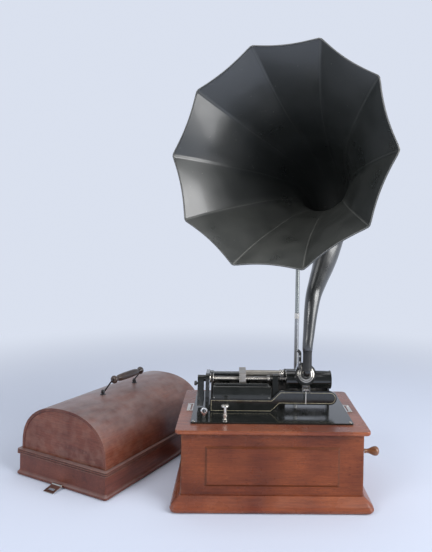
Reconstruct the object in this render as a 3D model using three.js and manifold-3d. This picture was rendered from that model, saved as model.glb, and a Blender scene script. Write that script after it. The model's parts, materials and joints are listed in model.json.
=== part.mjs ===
// Horn gramophone for wax cylinders, with its domed lid standing on the floor beside it.
// Millimetres, +Z up, the cabinet's front towards -Y, origin at the centre of the cabinet's underside.
import * as THREE from 'three';
import { mergeVertices } from 'three/addons/utils/BufferGeometryUtils.js';
import Module from 'manifold-3d';

const wasm = await Module();
wasm.setup();

// Clearances
const seam = 0.3; // between two pieces that touch
const running = 0.3; // round a shaft, on the radius
const overrun = 5; // how far a cutting tool passes the metal

// Cabinet
const cabinet = { width: 420, depth: 285, height: 172, wall: 14, cornerRadius: 4, floor: 12 };
const field = { sideMargin: 55.4, bottomMargin: 54, topMargin: 26, proud: 3, bevel: 5 };
const base = { reach: 23, height: 33 };
const baseProfileShares = [
  [0.7, 0], [0.93, 0.1], [1, 0.27], [0.87, 0.5], [0.57, 0.74], [0.24, 0.92], [0.13, 1],
];
const lip = { reach: 13.5, height: 14, sideWidth: 48.5, frontWidth: 52, backWidth: 38 };
const lipProfileShares = [[0.15, 0], [0.3, 0.26], [0.85, 0.3], [1, 0.5], [1, 0.84], [0.93, 1]];
const cornerRoundingShare = 0.5; // how much of a moulding's reach its corner radius gains
const catchPlate = {
  width: 15, length: 55, thickness: 1.2, gap: 1.5, slotWidth: 4, slotInset: 2.5, centreY: 5,
};
const bodyTop = cabinet.height;
const lipTop = bodyTop + lip.height;
const sideX = cabinet.width / 2;
const frontY = -cabinet.depth / 2;
const backY = cabinet.depth / 2;
const bedMargin = { side: 18.5, front: 30.5, back: 9.5 }; // from the boards' faces to the bedplate's edges
const bedplate = {
  halfWidth: sideX - bedMargin.side, front: -frontY - bedMargin.front, back: backY - bedMargin.back, thickness: 4,
  cornerRadius: 3,
};
const deck = lipTop + bedplate.thickness;

// Heights over the deck
const over = {
  shaft: 74, backRod: 72, eye: 95, cuffBottom: 113.6, elbowTop: 132, cuffTop: 162, craneTube: 200,
};

// Places along X. The left-hand works keep to the left post, and the right-hand works to the right end of the casting.
const endMargin = { left: 29.5, right: 27.5 }; // from the bedplate's ends
const leftPostX = endMargin.left - bedplate.halfWidth;
const castingRight = bedplate.halfWidth - endMargin.right;
const pastLeftPost = {
  coverLeft: -20, shaftEnd: -15, lever: 1, pulley: 10.5, casting: 12, guard: 20, screw: 21, flange: 24, motor: 40,
  speedKnob: 51,
};
const beforeRight = { post: 12, play: 79, mandrel: 124, middlePost: 158 };
const centrePost = {
  left: castingRight - beforeRight.middlePost, thickness: 14, footFront: -32, footBack: 18, lap: 4,
};
const stepX = centrePost.left - centrePost.lap;
const playX = castingRight - beforeRight.play; // the reproducer's place while it plays

// Upper works: the shaft of the feed screw and mandrel, and the rod that the carriage slides on
const shaft = { y: -5, z: deck + over.shaft, radius: 4, leftEnd: leftPostX + pastLeftPost.shaftEnd };
const backRod = { y: 45, z: deck + over.backRod, radius: 6.75, capRadius: 8.5, capLength: 9 };
const casting = {
  left: leftPostX + pastLeftPost.casting, stepX, right: castingRight, thickness: 8, front: -40, lowTop: 32, stepRun: 21,
  tongueBottom: 20, tongueTop: 53, flangeLeft: leftPostX + pastLeftPost.flange, flangeBack: 28, flangeThickness: 6,
};
const guard = {
  left: leftPostX + pastLeftPost.guard, right: stepX - seam, height: 29, thickness: 2, lean: 9,
};
const post = { thickness: 9, footFront: -26, footBack: 58, shaftHead: 12, rodHead: 11 };
const rightPost = { left: castingRight - beforeRight.post, thickness: 6, footHalf: 14 };
const endCover = {
  left: leftPostX + pastLeftPost.coverLeft, depth: 15, wall: 2.5, topRadius: 10, topDrop: 2, front: -24, back: 20,
  bottom: 9, hubRadius: 8,
};
const feedScrew = {
  left: leftPostX + pastLeftPost.screw, right: stepX, radius: 5.6, nutRadius: 8.5, nutLength: 8, nutSetback: 2,
};
const pulley = { left: leftPostX + pastLeftPost.pulley, width: 10, radius: 11, rim: 2.4, rimWidth: 1.2 };
const mandrel = {
  left: castingRight - beforeRight.mandrel, length: 113, bigRadius: 23, smallRadius: 21.4, wall: 3, lipLength: 3,
  lipRadius: 22.6,
};

// Carriage, at the place it has in its playing position; its feed arm is then halfway between the posts
const armCollar = { gap: 1, hubReach: 13, bareGap: 1 };
const feedArm = {
  left: (leftPostX + centrePost.left) / 2, width: 17, thickness: 6, lift: 4.5, strap: 3, strapDrop: 28, reach: 9,
  collarRadius: 13.5,
};
const sleeve = {
  left: feedArm.left + feedArm.width + armCollar.gap, bareRight: mandrel.left - armCollar.bareGap,
  hubRight: playX + armCollar.hubReach, radius: 10.5, bandRadius: 12.2, bandWidth: 4, bandPitch: 6.5, bands: 2,
};
const eye = { y: -40, z: deck + over.eye, tiltDeg: 20, outer: 26, inner: 23.3, thickness: 14 };
const arch = {
  width: 30, inner: 31, thickness: 10, hubRadius: 15, neckTop: 28.5, neckBottom: 23.6, neckBack: 22,
};
const archDeg = {
  innerBack: -10, innerFront: 98, outerBack: 42, outerFront: 82, hubFront: -150, hubBack: 60,
};
const foot = { width: 16, front: -50, back: -35 };
const ear = { thickness: 3, drop: 9, height: 14, reach: 11, pinRadius: 1.5, span: 14 };
const lever = { hubRadius: 3.6, radius: 1.25, length: 36 };
const reproducer = { radius: 23, thickness: 14, ringOuter: 20, ringInner: 10.6, ringThickness: 4 };
const stylus = { radius: 18.5, thickness: 3, drop: 7.75, tipRadius: 1, tipReach: 4.5, gap: 1 };
const elbow = { radius: 9.5, y: -70, bend: 10.4, top: deck + over.elbowTop };
const cuff = { bottom: deck + over.cuffBottom, top: deck + over.cuffTop, radius: 11.5 };

// Horn: a swan neck and a bell of ten panels. The centreline's shares are of the rise, back from the cuff and up.
const horn = {
  rise: 447, throat: 22, mouth: 488, panels: 10, wall: 1.2, azimuthDeg: 25.4, twistDeg: 1.1, plugRadius: 9.2,
  plugLength: 28, bellStartShare: 0.445, rimDipShare: 0.03, roundUntilShare: 0.42, panelledFromShare: 0.78,
};
const hornPathShares = [
  [0, 0], [0, 0.012], [0.0035, 0.034], [0.015, 0.074], [0.047, 0.199], [0.087, 0.282], [0.166, 0.355], [0.269, 0.44],
  [0.345, 0.528], [0.403, 0.664], [0.358, 0.799], [0.235, 0.892], [-0.011, 0.938], [-0.271, 0.963], [-0.521, 0.993],
];
const hornRing = {
  radius: 13, wire: 2, padLength: 12, padWidth: 20, padThickness: 3, lift: 1.6, nearShare: 0.012,
};

// Crane that takes the weight of the horn
const crane = {
  standoff: 22.5, tubeRadius: 6.3, tubeBottom: 52, tubeTop: deck + over.craneTube, rodRadius: 5.9, spigotRadius: 4,
  spigotBottom: 90, collarRadius: 7, collarHeight: 16, bend: 38, tipBend: 35,
};
const bracket = {
  halfWidth: 18, bottom: 48, topGap: 6, thickness: 4, bossRadius: 11, bossHeight: 20, webHalf: 7,
};
const hook = { wire: 2, radius: 12, openDeg: 50, shankRadius: 2.6, ballRadius: 2.4, reach: 42.7 };

// Spring motor, hung under the bedplate
const winder = { y: 28, drop: 54, radius: 5 };
const winderZ = deck - winder.drop;
const motorLeft = leftPostX + pastLeftPost.motor;
const motor = {
  length: 100, plate: 4, front: -56, back: 75, drop: 140, pillarRadius: 4, pillarInset: 9,
  shaftRadius: 3, shaftLap: 5,
};
const motorRight = motorLeft + motor.length;
const motorBottom = deck - motor.drop;
const intoMotor = {
  governorPinion: 20, driveGear: 21, drivePinion: 32, middleGear: 33, governor: 36, middlePinion: 41, barrelGear: 42,
  barrel: 49,
};
const mesh = { gap: 0.2, addendumShare: 0.62, dedendumShare: 1.15, toothShare: 0.36, tipShare: 0.55 };
const barrelGear = { teeth: 40, module: 2.1, left: motorLeft + intoMotor.barrelGear, width: 5 };
const barrel = { left: motorLeft + intoMotor.barrel, length: 40, radius: 40, neckRadius: 14 };
const middlePinion = { teeth: 8, module: 2.1, left: motorLeft + intoMotor.middlePinion, width: 7 };
const middleGear = { teeth: 32, module: 1.75, left: motorLeft + intoMotor.middleGear, width: 4 };
const drivePinion = { teeth: 8, module: 1.75, left: motorLeft + intoMotor.drivePinion, width: 6 };
const driveGear = { teeth: 32, module: 1.2, left: motorLeft + intoMotor.driveGear, width: 4 };
const governorPinion = { teeth: 8, module: 1.2, left: motorLeft + intoMotor.governorPinion, width: 6 };
const driveOffset = { y: -36, z: -36 }; // drive shaft from the winding axis
const governorAngleDeg = 170; // of the governor, seen from the drive shaft
const drivePulley = { radius: 22, rim: 2.4, rimWidth: 1.2 };
const belt = { width: 7, thickness: 1.6 };
const governor = {
  spindleRadius: 2, collarRadius: 6, collarWidth: 9, orbit: 10.5, ballRadius: 5.5, balls: 3, springRadius: 1.2,
  left: motorLeft + intoMotor.governor, length: 42, discRadius: 15, discWidth: 3,
};

// Winding handle, outside the right-hand side
const crank = {
  thickness: 5, hubRadius: 10, tipRadius: 7.5, forward: 78, drop: 35, pinRadius: 3, standoff: 14.5,
};
const crankEnd = { y: winder.y - crank.forward, z: winderZ - crank.drop };
const knob = { length: 36, gap: 3, swell: 11.3, pinShare: 0.86 };
const knobShares = [
  [0, 0.46], [0.12, 0.42], [0.3, 0.52], [0.5, 0.8], [0.68, 0.98], [0.78, 1], [0.9, 0.86], [0.97, 0.55],
  [1, 0],
];
const escutcheon = { radius: 13, thickness: 2 };

// Controls on the bedplate
const speedKnobMargin = 16; // from the bedplate's front edge
const speedKnob = {
  x: leftPostX + pastLeftPost.speedKnob, y: speedKnobMargin - bedplate.front, capRadius: 9.4, capShoulder: 35.5,
  capBottom: 32, capTop: 37, capFlatShare: 0.8, stemRadius: 3.8,
  collarRadius: 5.4, collarBottom: 8, collarTop: 13.5, footRadius: 6.4, footTop: 3, below: 40,
};
const stopLever = {
  x: leftPostX + pastLeftPost.lever, y: -62, pinRadius: 3, reach: 24, rise: 14, headRadius: 8, headBore: 4.6,
  headThickness: 3.5, armWidth: 6, armThickness: 3, shoeLength: 8, shoeThickness: 5,
};

// Lid, standing open side down. Its own axes: x along its length, y across, z up.
const lid = {
  turnDeg: 61.5, length: 440, width: 300, bandHeight: 67, step: 5, ledge: 10, shoulderRise: 15, apexRise: 122, shell: 8,
  panel: 10, bulge: 2.3,
};
const lidArchHalf = lid.width / 2 - lid.ledge;
const lidArchLength = lid.length - 2 * lid.ledge;
const lidShoulder = lid.bandHeight + lid.shoulderRise;
const lidApex = lid.bandHeight + lid.apexRise;
const lidStand = { clear: 0.39, slide: 98.15 }; // its long side from the base's back left corner, and along it
const lidBandShares = [
  [0.4, 0], [1, 0.05], [1, 0.11], [0.3, 0.15], [0, 0.2], [0, 0.81], [1, 0.83], [1, 0.87], [0.5, 0.885], [1, 0.9],
  [1, 0.94], [0.5, 0.955], [0.95, 0.97], [0.85, 1],
];
const bail = {
  halfSpan: 66, legLength: 46, leanDeg: 40, wire: 2.2, kneeRadius: 2.35, pinReach: 5.6, eyeRise: 7, eyeRadius: 4.6,
  eyeWire: 2, footRadius: 7, footThickness: 2,
};
const grip = { length: 122, beadRadius: 10.6, swellRadius: 10, shoulderShare: 0.96 };
const gripBeadShares = [[0, 0.55], [0.02, 0.86], [0.06, 1], [0.1, 0.84], [0.135, 0.56], [0.17, 0.7]];
const clip = {
  width: 32, length: 31, thickness: 2, knuckleRadius: 3.4, hingeZ: 8, tipZ: 1.6, slotWidth: 18, slotHeight: 6,
  slotFromTip: 9,
};

// Finishes
const finish = (color, roughness, metalness) => new THREE.MeshStandardMaterial({ color, roughness, metalness });
const mahogany = () => finish(0x8a4826, 0.35, 0);
const darkMahogany = () => finish(0x6a3424, 0.45, 0);
const blackEnamel = () => finish(0x131416, 0.2, 0);
const satinBlack = () => finish(0x2c2e2f, 0.45, 0.1);
const nickel = () => finish(0xb9b6ac, 0.25, 1);
const steel = () => finish(0x86888c, 0.4, 1);
const brass = () => finish(0xb29256, 0.35, 1);
const blackRubber = () => finish(0x1d1e20, 0.7, 0);
const leather = () => finish(0x4a3323, 0.8, 0);

// Solids
function tidy(geometry) {
  geometry.deleteAttribute('normal');
  geometry.deleteAttribute('uv');
  const welded = mergeVertices(geometry, 1e-4);
  const place = welded.getAttribute('position');
  const corners = welded.getIndex() ? Array.from(welded.getIndex().array) : [];
  const kept = [];
  let volume = 0;
  const [a, b, c] = [new THREE.Vector3(), new THREE.Vector3(), new THREE.Vector3()];
  for (let i = 0; i < corners.length; i += 3) {
    const [p, q, r] = corners.slice(i, i + 3);
    if (p === q || q === r || r === p) continue;
    kept.push(p, q, r);
    a.fromBufferAttribute(place, p);
    b.fromBufferAttribute(place, q);
    c.fromBufferAttribute(place, r);
    volume += a.dot(b.cross(c));
  }
  welded.setIndex(volume < 0 ? kept.reverse() : kept);
  return welded;
}

function toManifold(geometry) {
  const clean = tidy(geometry.clone());
  return new wasm.Manifold(new wasm.Mesh({
    numProp: 3,
    vertProperties: new Float32Array(clean.getAttribute('position').array),
    triVerts: new Uint32Array(clean.getIndex().array),
  }));
}

function fromManifold(solid) {
  const data = solid.getMesh();
  const geometry = new THREE.BufferGeometry();
  geometry.setAttribute('position', new THREE.BufferAttribute(data.vertProperties, 3));
  geometry.setIndex(new THREE.BufferAttribute(data.triVerts, 1));
  return geometry;
}

const join = (...geometries) => fromManifold(
  geometries.map(toManifold).reduce((sum, next) => sum.add(next)),
);
const cut = (geometry, ...tools) => fromManifold(
  tools.map(toManifold).reduce((rest, tool) => rest.subtract(tool), toManifold(geometry)),
);

// Places a geometry, for pieces joined from several
const at = (geometry, x, y, z) => geometry.translate(x, y, z);

// A block between two corners
function block(low, high) {
  const size = high.map((value, i) => value - low[i]);
  const middle = high.map((value, i) => (value + low[i]) / 2);
  return new THREE.BoxGeometry(...size).translate(...middle);
}

// Turns a geometry that points up (+Y in three's own lathe and cylinder) to point along +X or +Z
const toX = (geometry) => geometry.rotateZ(-Math.PI / 2);
const toZ = (geometry) => geometry.rotateX(Math.PI / 2);

// A turned piece from [distance along the axis, radius] pairs
const turned = (profile, sides = 18) => tidy(
  new THREE.LatheGeometry(profile.map(([along, radius]) => new THREE.Vector2(radius, along)), sides),
);

const rod = (radius, from, to, sides = 16) => turned(
  [[from, 0], [from, radius], [to, radius], [to, 0]], sides,
);
const tube = (outer, inner, from, to, sides = 18) => turned(
  [[from, inner], [from, outer], [to, outer], [to, inner], [from, inner]], sides,
);

const slab = (shape, depth, curveSegments = 8) => new THREE.ExtrudeGeometry(
  shape, { depth, bevelEnabled: false, curveSegments },
);

// Outlines drawn in (y, z) run along +X; outlines drawn in (x, z) run towards -Y
const slabAlongX = (shape, depth, curveSegments) => slab(shape, depth, curveSegments).applyMatrix4(
  new THREE.Matrix4().makeBasis(
    new THREE.Vector3(0, 1, 0), new THREE.Vector3(0, 0, 1), new THREE.Vector3(1, 0, 0),
  ),
);
const slabAlongY = (shape, depth, curveSegments) => slab(shape, depth, curveSegments).rotateX(Math.PI / 2);

// A closed skin over rings that have the same number of points
function skin(rings, loop = false) {
  const count = rings[0].length;
  const positions = rings.flat().flatMap((point) => [point.x, point.y, point.z]);
  const faces = [];
  const last = loop ? rings.length : rings.length - 1;
  for (let i = 0; i < last; i += 1) {
    const here = i * count;
    const there = ((i + 1) % rings.length) * count;
    for (let j = 0; j < count; j += 1) {
      const k = (j + 1) % count;
      faces.push(here + j, here + k, there + k, here + j, there + k, there + j);
    }
  }
  for (let j = 1; !loop && j < count - 1; j += 1) {
    const end = (rings.length - 1) * count;
    faces.push(0, j + 1, j, end, end + j, end + j + 1);
  }
  const geometry = new THREE.BufferGeometry();
  geometry.setAttribute('position', new THREE.Float32BufferAttribute(positions, 3));
  geometry.setIndex(faces);
  return tidy(geometry);
}

// One level of a rounded rectangle
function roundedLevel(halfX, halfY, radius, z, steps = 3) {
  const points = [];
  const corners = [[1, 1, 0], [-1, 1, 1], [-1, -1, 2], [1, -1, 3]];
  for (const [sx, sy, quarter] of corners) {
    for (let i = 0; i <= steps; i += 1) {
      const angle = ((quarter + i / steps) * Math.PI) / 2;
      points.push(new THREE.Vector3(
        sx * (halfX - radius) + radius * Math.cos(angle),
        sy * (halfY - radius) + radius * Math.sin(angle),
        z,
      ));
    }
  }
  return points;
}

// A board whose edge follows a moulding's profile, given as shares of its reach and height
function mouldedBoard(halfX, halfY, radius, reach, height, shares) {
  return skin(shares.map(([out, up]) => roundedLevel(
    halfX + out * reach,
    halfY + out * reach,
    radius + out * reach * cornerRoundingShare,
    up * height,
  )));
}

function bentRod(points, radius, steps, sides = 12) {
  const circle = new THREE.Shape(Array.from({ length: sides }, (_, i) => new THREE.Vector2(
    radius * Math.cos((2 * Math.PI * i) / sides),
    radius * Math.sin((2 * Math.PI * i) / sides),
  )));
  const extrudePath = points instanceof THREE.Curve ? points : new THREE.CatmullRomCurve3(points, false, 'centripetal');
  return tidy(new THREE.ExtrudeGeometry(circle, { steps, extrudePath, bevelEnabled: false }));
}

// Straight runs and bends in the plane x = 0
const inPlane = (y, z) => new THREE.Vector3(0, y, z);
const run = (from, to) => new THREE.LineCurve3(inPlane(...from), inPlane(...to));
const bend = (...corners) => new THREE.QuadraticBezierCurve3(
  ...corners.map((corner) => inPlane(...corner)),
);

// A rod along such a path, with a ring only where it turns
function sweptAlong(curves, radius, sides) {
  const rings = [];
  curves.forEach((curve, index) => {
    const steps = curve instanceof THREE.LineCurve3 ? 1 : 6;
    for (let i = index === 0 ? 0 : 1; i <= steps; i += 1) {
      const centre = curve.getPoint(i / steps);
      const tangent = curve.getTangent(i / steps);
      const normal = new THREE.Vector3(0, tangent.z, -tangent.y);
      rings.push(Array.from({ length: sides }, (_, j) => {
        const angle = (2 * Math.PI * j) / sides;
        return new THREE.Vector3(radius * Math.cos(angle), 0, 0).addScaledVector(
          normal, radius * Math.sin(angle),
        ).add(centre);
      }));
    }
  });
  return skin(rings);
}

// A ring of wire in the plane x = 0 that starts at the top and stays open
function openRing(radius, wire, sweep, steps = 18, sides = 7) {
  return skin(Array.from({ length: steps + 1 }, (_, i) => {
    const angle = Math.PI / 2 + (sweep * i) / steps;
    const out = new THREE.Vector3(0, Math.cos(angle), Math.sin(angle));
    return Array.from({ length: sides }, (_unused, j) => {
      const turn = (2 * Math.PI * j) / sides;
      return new THREE.Vector3(wire * Math.sin(turn), 0, 0).addScaledVector(
        out, radius + wire * Math.cos(turn),
      );
    });
  }));
}

const hole = (x, y, radius) => {
  const path = new THREE.Path();
  path.absarc(x, y, radius, 0, 2 * Math.PI, true);
  return path;
};

// The outline that a tight strap round two circles makes: [y, z, radius] each
function strapOutline([y0, z0, r0], [y1, z1, r1]) {
  const apart = Math.hypot(y1 - y0, z1 - z0);
  const along = Math.atan2(z1 - z0, y1 - y0);
  const lean = Math.acos((r0 - r1) / apart);
  const shape = new THREE.Shape();
  shape.absarc(y0, z0, r0, along + lean, along - lean + 2 * Math.PI, false);
  shape.absarc(y1, z1, r1, along - lean, along + lean, false);
  shape.closePath();
  return shape;
}

// A spur gear's outline with its middle at the origin; phase turns it, in teeth
function gearOutline({ teeth, module }, bore = 0, phase = 0) {
  const pitch = (teeth * module) / 2;
  const outer = pitch + mesh.addendumShare * module;
  const root = pitch - mesh.dedendumShare * module;
  const step = (2 * Math.PI) / teeth;
  const half = (step * mesh.toothShare) / 2;
  const points = [];
  for (let i = 0; i < teeth; i += 1) {
    const middle = (i + phase) * step;
    const corners = [
      [root, -half / mesh.tipShare], [outer, -half * mesh.tipShare], [outer, half * mesh.tipShare],
      [root, half / mesh.tipShare],
    ];
    for (const [radius, turn] of corners) {
      points.push(new THREE.Vector2(radius * Math.cos(middle + turn), radius * Math.sin(middle + turn)));
    }
  }
  const shape = new THREE.Shape(points);
  if (bore > 0) shape.holes.push(hole(0, 0, bore));
  return shape;
}

const gearWheel = (gear, phase) => at(slabAlongX(gearOutline(gear, 0, phase), gear.width), gear.left, 0, 0);

const gramophone = new THREE.Group();

function place(name, geometry, material, parent = gramophone, x = 0, y = 0, z = 0) {
  const piece = new THREE.Mesh(tidy(geometry), material);
  piece.name = name;
  piece.position.set(x, y, z);
  parent.add(piece);
  return piece;
}

const radians = THREE.MathUtils.degToRad;

// Cabinet
const rimHalfX = sideX + seam;
const rimHalfY = backY + seam;
const baseBoard = mouldedBoard(
  rimHalfX, rimHalfY, cabinet.cornerRadius, base.reach, base.height, baseProfileShares,
);
const bodyPrism = skin(
  [-overrun, base.height + overrun].map((z) => roundedLevel(rimHalfX, rimHalfY, cabinet.cornerRadius, z)),
);
place('base_moulding', cut(baseBoard, bodyPrism), mahogany());
place(
  'bottom_board', skin([0, cabinet.floor].map((z) => roundedLevel(sideX, backY, cabinet.cornerRadius, z))),
  darkMahogany(),
);

// Front and back run the full width; the sides stand between them
function fullPanel(outerY, facing) {
  const shape = new THREE.Shape();
  const innerY = outerY - facing * cabinet.wall;
  const r = cabinet.cornerRadius;
  shape.moveTo(-sideX, innerY);
  shape.lineTo(-sideX, outerY - facing * r);
  shape.quadraticCurveTo(-sideX, outerY, -sideX + r, outerY);
  shape.lineTo(sideX - r, outerY);
  shape.quadraticCurveTo(sideX, outerY, sideX, outerY - facing * r);
  shape.lineTo(sideX, innerY);
  shape.closePath();
  return at(slab(shape, cabinet.height - cabinet.floor, 3), 0, 0, cabinet.floor);
}

function raisedField() {
  const halfX = sideX - field.sideMargin;
  const [low, high] = [field.bottomMargin, bodyTop - field.topMargin];
  const level = (inset, y) => [
    [-1, low + inset], [1, low + inset], [1, high - inset], [-1, high - inset],
  ].map(
    ([side, z]) => new THREE.Vector3(side * (halfX - inset), y, z),
  );
  return skin([level(0, frontY + overrun), level(0, frontY), level(field.bevel, frontY - field.proud)]);
}

place('front_panel', join(fullPanel(frontY, -1), raisedField()), mahogany());
place('back_panel', fullPanel(backY, 1), mahogany());
const sideHalf = backY - cabinet.wall;
place(
  'left_panel', block([-sideX, -sideHalf, cabinet.floor], [-sideX + cabinet.wall, sideHalf, bodyTop]),
  mahogany(),
);
const rightPanel = block([sideX - cabinet.wall, -sideHalf, cabinet.floor], [sideX, sideHalf, bodyTop]);
const winderHole = at(
  toX(rod(winder.radius + 2 * running, 0, cabinet.wall + 2 * overrun)), sideX - cabinet.wall - overrun,
  winder.y, winderZ,
);
place('right_panel', cut(rightPanel, winderHole), mahogany());
place(
  'crank_escutcheon', toX(tube(escutcheon.radius, winder.radius + running, 0, escutcheon.thickness)),
  nickel(), gramophone, sideX, winder.y, winderZ,
);

const lipBoard = at(
  mouldedBoard(sideX, backY, cabinet.cornerRadius, lip.reach, lip.height, lipProfileShares), 0, 0, bodyTop,
);
const lipOpening = block(
  [-sideX - lip.reach + lip.sideWidth, frontY - lip.reach + lip.frontWidth, bodyTop - overrun],
  [sideX + lip.reach - lip.sideWidth, backY + lip.reach - lip.backWidth, lipTop + overrun],
);
place('top_frame', cut(lipBoard, lipOpening), mahogany());

for (const [name, side] of [['left_catch_plate', -1], ['right_catch_plate', 1]]) {
  const [near, far] = [
    bedplate.halfWidth + catchPlate.gap, bedplate.halfWidth + catchPlate.gap + catchPlate.width,
  ];
  const plate = block(
    [near, -catchPlate.length / 2, 0], [far, catchPlate.length / 2, catchPlate.thickness],
  );
  const slotStart = near + catchPlate.slotInset;
  const slotHalf = catchPlate.length / 2 - 2 * catchPlate.slotInset;
  const slot = block(
    [slotStart, -slotHalf, -overrun], [slotStart + catchPlate.slotWidth, slotHalf, overrun],
  );
  place(
    name, side < 0 ? cut(plate, slot).rotateZ(Math.PI) : cut(plate, slot), nickel(), gramophone, 0,
    catchPlate.centreY, lipTop,
  );
}

// Shaft places of the motor, worked out from the gears that mesh
const meshDistance = (one, other) => ((one.teeth + other.teeth) * one.module) / 2 + mesh.gap;
const driveShaft = { y: winder.y + driveOffset.y, z: winderZ + driveOffset.z };
const middleShaft = (() => {
  const toWinder = meshDistance(barrelGear, middlePinion);
  const toDrive = meshDistance(middleGear, drivePinion);
  const apart = Math.hypot(driveOffset.y, driveOffset.z);
  const along = (toWinder ** 2 - toDrive ** 2 + apart ** 2) / (2 * apart);
  const aside = Math.sqrt(toWinder ** 2 - along ** 2);
  const [uy, uz] = [driveOffset.y / apart, driveOffset.z / apart];
  return { y: winder.y + along * uy - aside * uz, z: winderZ + along * uz + aside * uy };
})();
const governorShaft = {
  y: driveShaft.y + meshDistance(driveGear, governorPinion) * Math.cos(radians(governorAngleDeg)),
  z: driveShaft.z + meshDistance(driveGear, governorPinion) * Math.sin(radians(governorAngleDeg)),
};

// Bedplate, with the holes that the belt and the controls pass through
const beltX = pulley.left + pulley.width / 2;
const beltOuter = (radius) => radius + seam + belt.thickness;
const beltSlotFront = Math.min(
  shaft.y - beltOuter(pulley.radius), driveShaft.y - beltOuter(drivePulley.radius),
);
const beltSlotBack = Math.max(
  shaft.y + beltOuter(pulley.radius), driveShaft.y + beltOuter(drivePulley.radius),
);
function bedplateShape() {
  const { halfWidth, front, back, cornerRadius: r } = bedplate;
  const shape = new THREE.Shape();
  shape.absarc(halfWidth - r, back - r, r, 0, Math.PI / 2);
  shape.absarc(-halfWidth + r, back - r, r, Math.PI / 2, Math.PI);
  shape.absarc(-halfWidth + r, -front + r, r, Math.PI, 1.5 * Math.PI);
  shape.absarc(halfWidth - r, -front + r, r, 1.5 * Math.PI, 2 * Math.PI);
  const slot = new THREE.Path();
  const half = belt.width / 2 + 1.5 * belt.thickness;
  slot.moveTo(beltX - half, beltSlotFront);
  slot.lineTo(beltX - half, beltSlotBack);
  slot.lineTo(beltX + half, beltSlotBack);
  slot.lineTo(beltX + half, beltSlotFront);
  shape.holes.push(slot, hole(speedKnob.x, speedKnob.y, speedKnob.stemRadius + running));
  shape.holes.push(hole(stopLever.x, stopLever.y, stopLever.pinRadius + running));
  return shape;
}
place('bedplate', slab(bedplateShape(), bedplate.thickness, 5), blackEnamel(), gramophone, 0, 0, lipTop);

// Body casting: front plate with its raised tongue, foot flange and the middle bearing arm
function castingOutline() {
  const { left, stepX, right, lowTop, stepRun, tongueBottom, tongueTop } = casting;
  const round = (tongueTop - tongueBottom) / 2;
  const shape = new THREE.Shape();
  shape.moveTo(left, deck);
  shape.lineTo(stepX, deck);
  shape.lineTo(stepX + stepRun, deck + tongueBottom);
  shape.lineTo(right - round, deck + tongueBottom);
  shape.absarc(right - round, deck + tongueBottom + round, round, -Math.PI / 2, Math.PI / 2);
  shape.lineTo(stepX + stepRun, deck + tongueTop);
  shape.lineTo(stepX, deck + lowTop);
  shape.lineTo(left, deck + lowTop);
  shape.closePath();
  return shape;
}

function bearingArm(footFront, footBack, headRadius) {
  const shape = new THREE.Shape();
  shape.moveTo(footFront, deck);
  shape.lineTo(footBack, deck);
  shape.lineTo(shaft.y + headRadius, shaft.z);
  shape.absarc(shaft.y, shaft.z, headRadius, 0, Math.PI);
  shape.closePath();
  return shape;
}

const castingBack = casting.front + casting.thickness;
const frontPlate = at(slabAlongY(castingOutline(), casting.thickness), 0, castingBack, 0);
const flange = block(
  [casting.flangeLeft, castingBack - seam, deck],
  [casting.stepX, casting.flangeBack, deck + casting.flangeThickness],
);
const centreArm = at(
  slabAlongX(bearingArm(castingBack - seam, centrePost.footBack, post.shaftHead), centrePost.thickness),
  centrePost.left, 0, 0,
);
const armFoot = block(
  [casting.stepX - overrun, centrePost.footFront, deck],
  [centrePost.left + centrePost.thickness, centrePost.footBack, deck + casting.flangeThickness],
);
const shaftBore = at(
  toX(rod(shaft.radius + running, -overrun, centrePost.thickness + overrun)), centrePost.left, shaft.y,
  shaft.z,
);
place('body_casting', cut(join(frontPlate, flange, centreArm, armFoot), shaftBore), blackEnamel());

// Curved guard over the feed screw, standing on the casting's lower edge
function guardOutline() {
  const foot = deck + casting.lowTop;
  const front = casting.front + guard.thickness;
  const shape = new THREE.Shape();
  shape.moveTo(front, foot);
  shape.quadraticCurveTo(
    front + guard.thickness, foot + guard.height, front + guard.lean + guard.thickness, foot + guard.height,
  );
  shape.lineTo(front + guard.lean + guard.thickness, foot + guard.height - guard.thickness);
  shape.quadraticCurveTo(
    front + 2 * guard.thickness, foot + guard.height - guard.thickness, front + guard.thickness, foot,
  );
  shape.closePath();
  return shape;
}
place('feed_guard', at(slabAlongX(guardOutline(), guard.right - guard.left, 6), guard.left, 0, 0), blackEnamel());

// Left post carries both the shaft and the back rod
function leftPostOutline() {
  const shape = new THREE.Shape();
  shape.moveTo(post.footFront, deck);
  shape.lineTo(post.footBack, deck);
  shape.absarc(backRod.y, backRod.z, post.rodHead, 0, Math.PI / 2);
  shape.absarc(shaft.y, shaft.z, post.shaftHead, Math.PI / 2, Math.PI);
  shape.closePath();
  shape.holes.push(
    hole(shaft.y, shaft.z, shaft.radius + running), hole(backRod.y, backRod.z, backRod.radius + seam),
  );
  return shape;
}
place('left_post', at(slabAlongX(leftPostOutline(), post.thickness), leftPostX, 0, 0), blackEnamel());

function rightPostOutline() {
  const shape = new THREE.Shape();
  shape.moveTo(backRod.y - rightPost.footHalf, deck);
  shape.lineTo(backRod.y + rightPost.footHalf, deck);
  shape.absarc(backRod.y, backRod.z, post.rodHead, 0, Math.PI);
  shape.closePath();
  shape.holes.push(hole(backRod.y, backRod.z, backRod.radius + seam));
  return shape;
}
place(
  'right_post', at(slabAlongX(rightPostOutline(), rightPost.thickness), rightPost.left, 0, 0),
  blackEnamel(),
);

const rodRight = rightPost.left + rightPost.thickness;
const rodCap = leftPostX + post.thickness + seam;
const backRodProfile = [
  [leftPostX, 0], [leftPostX, backRod.radius], [rodCap, backRod.radius], [rodCap, backRod.capRadius],
  [rodCap + backRod.capLength, backRod.capRadius], [rodCap + backRod.capLength, backRod.radius],
  [rodRight, backRod.radius], [rodRight, 0],
];
place('back_rod', toX(turned(backRodProfile)), nickel(), gramophone, 0, backRod.y, backRod.z);

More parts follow.
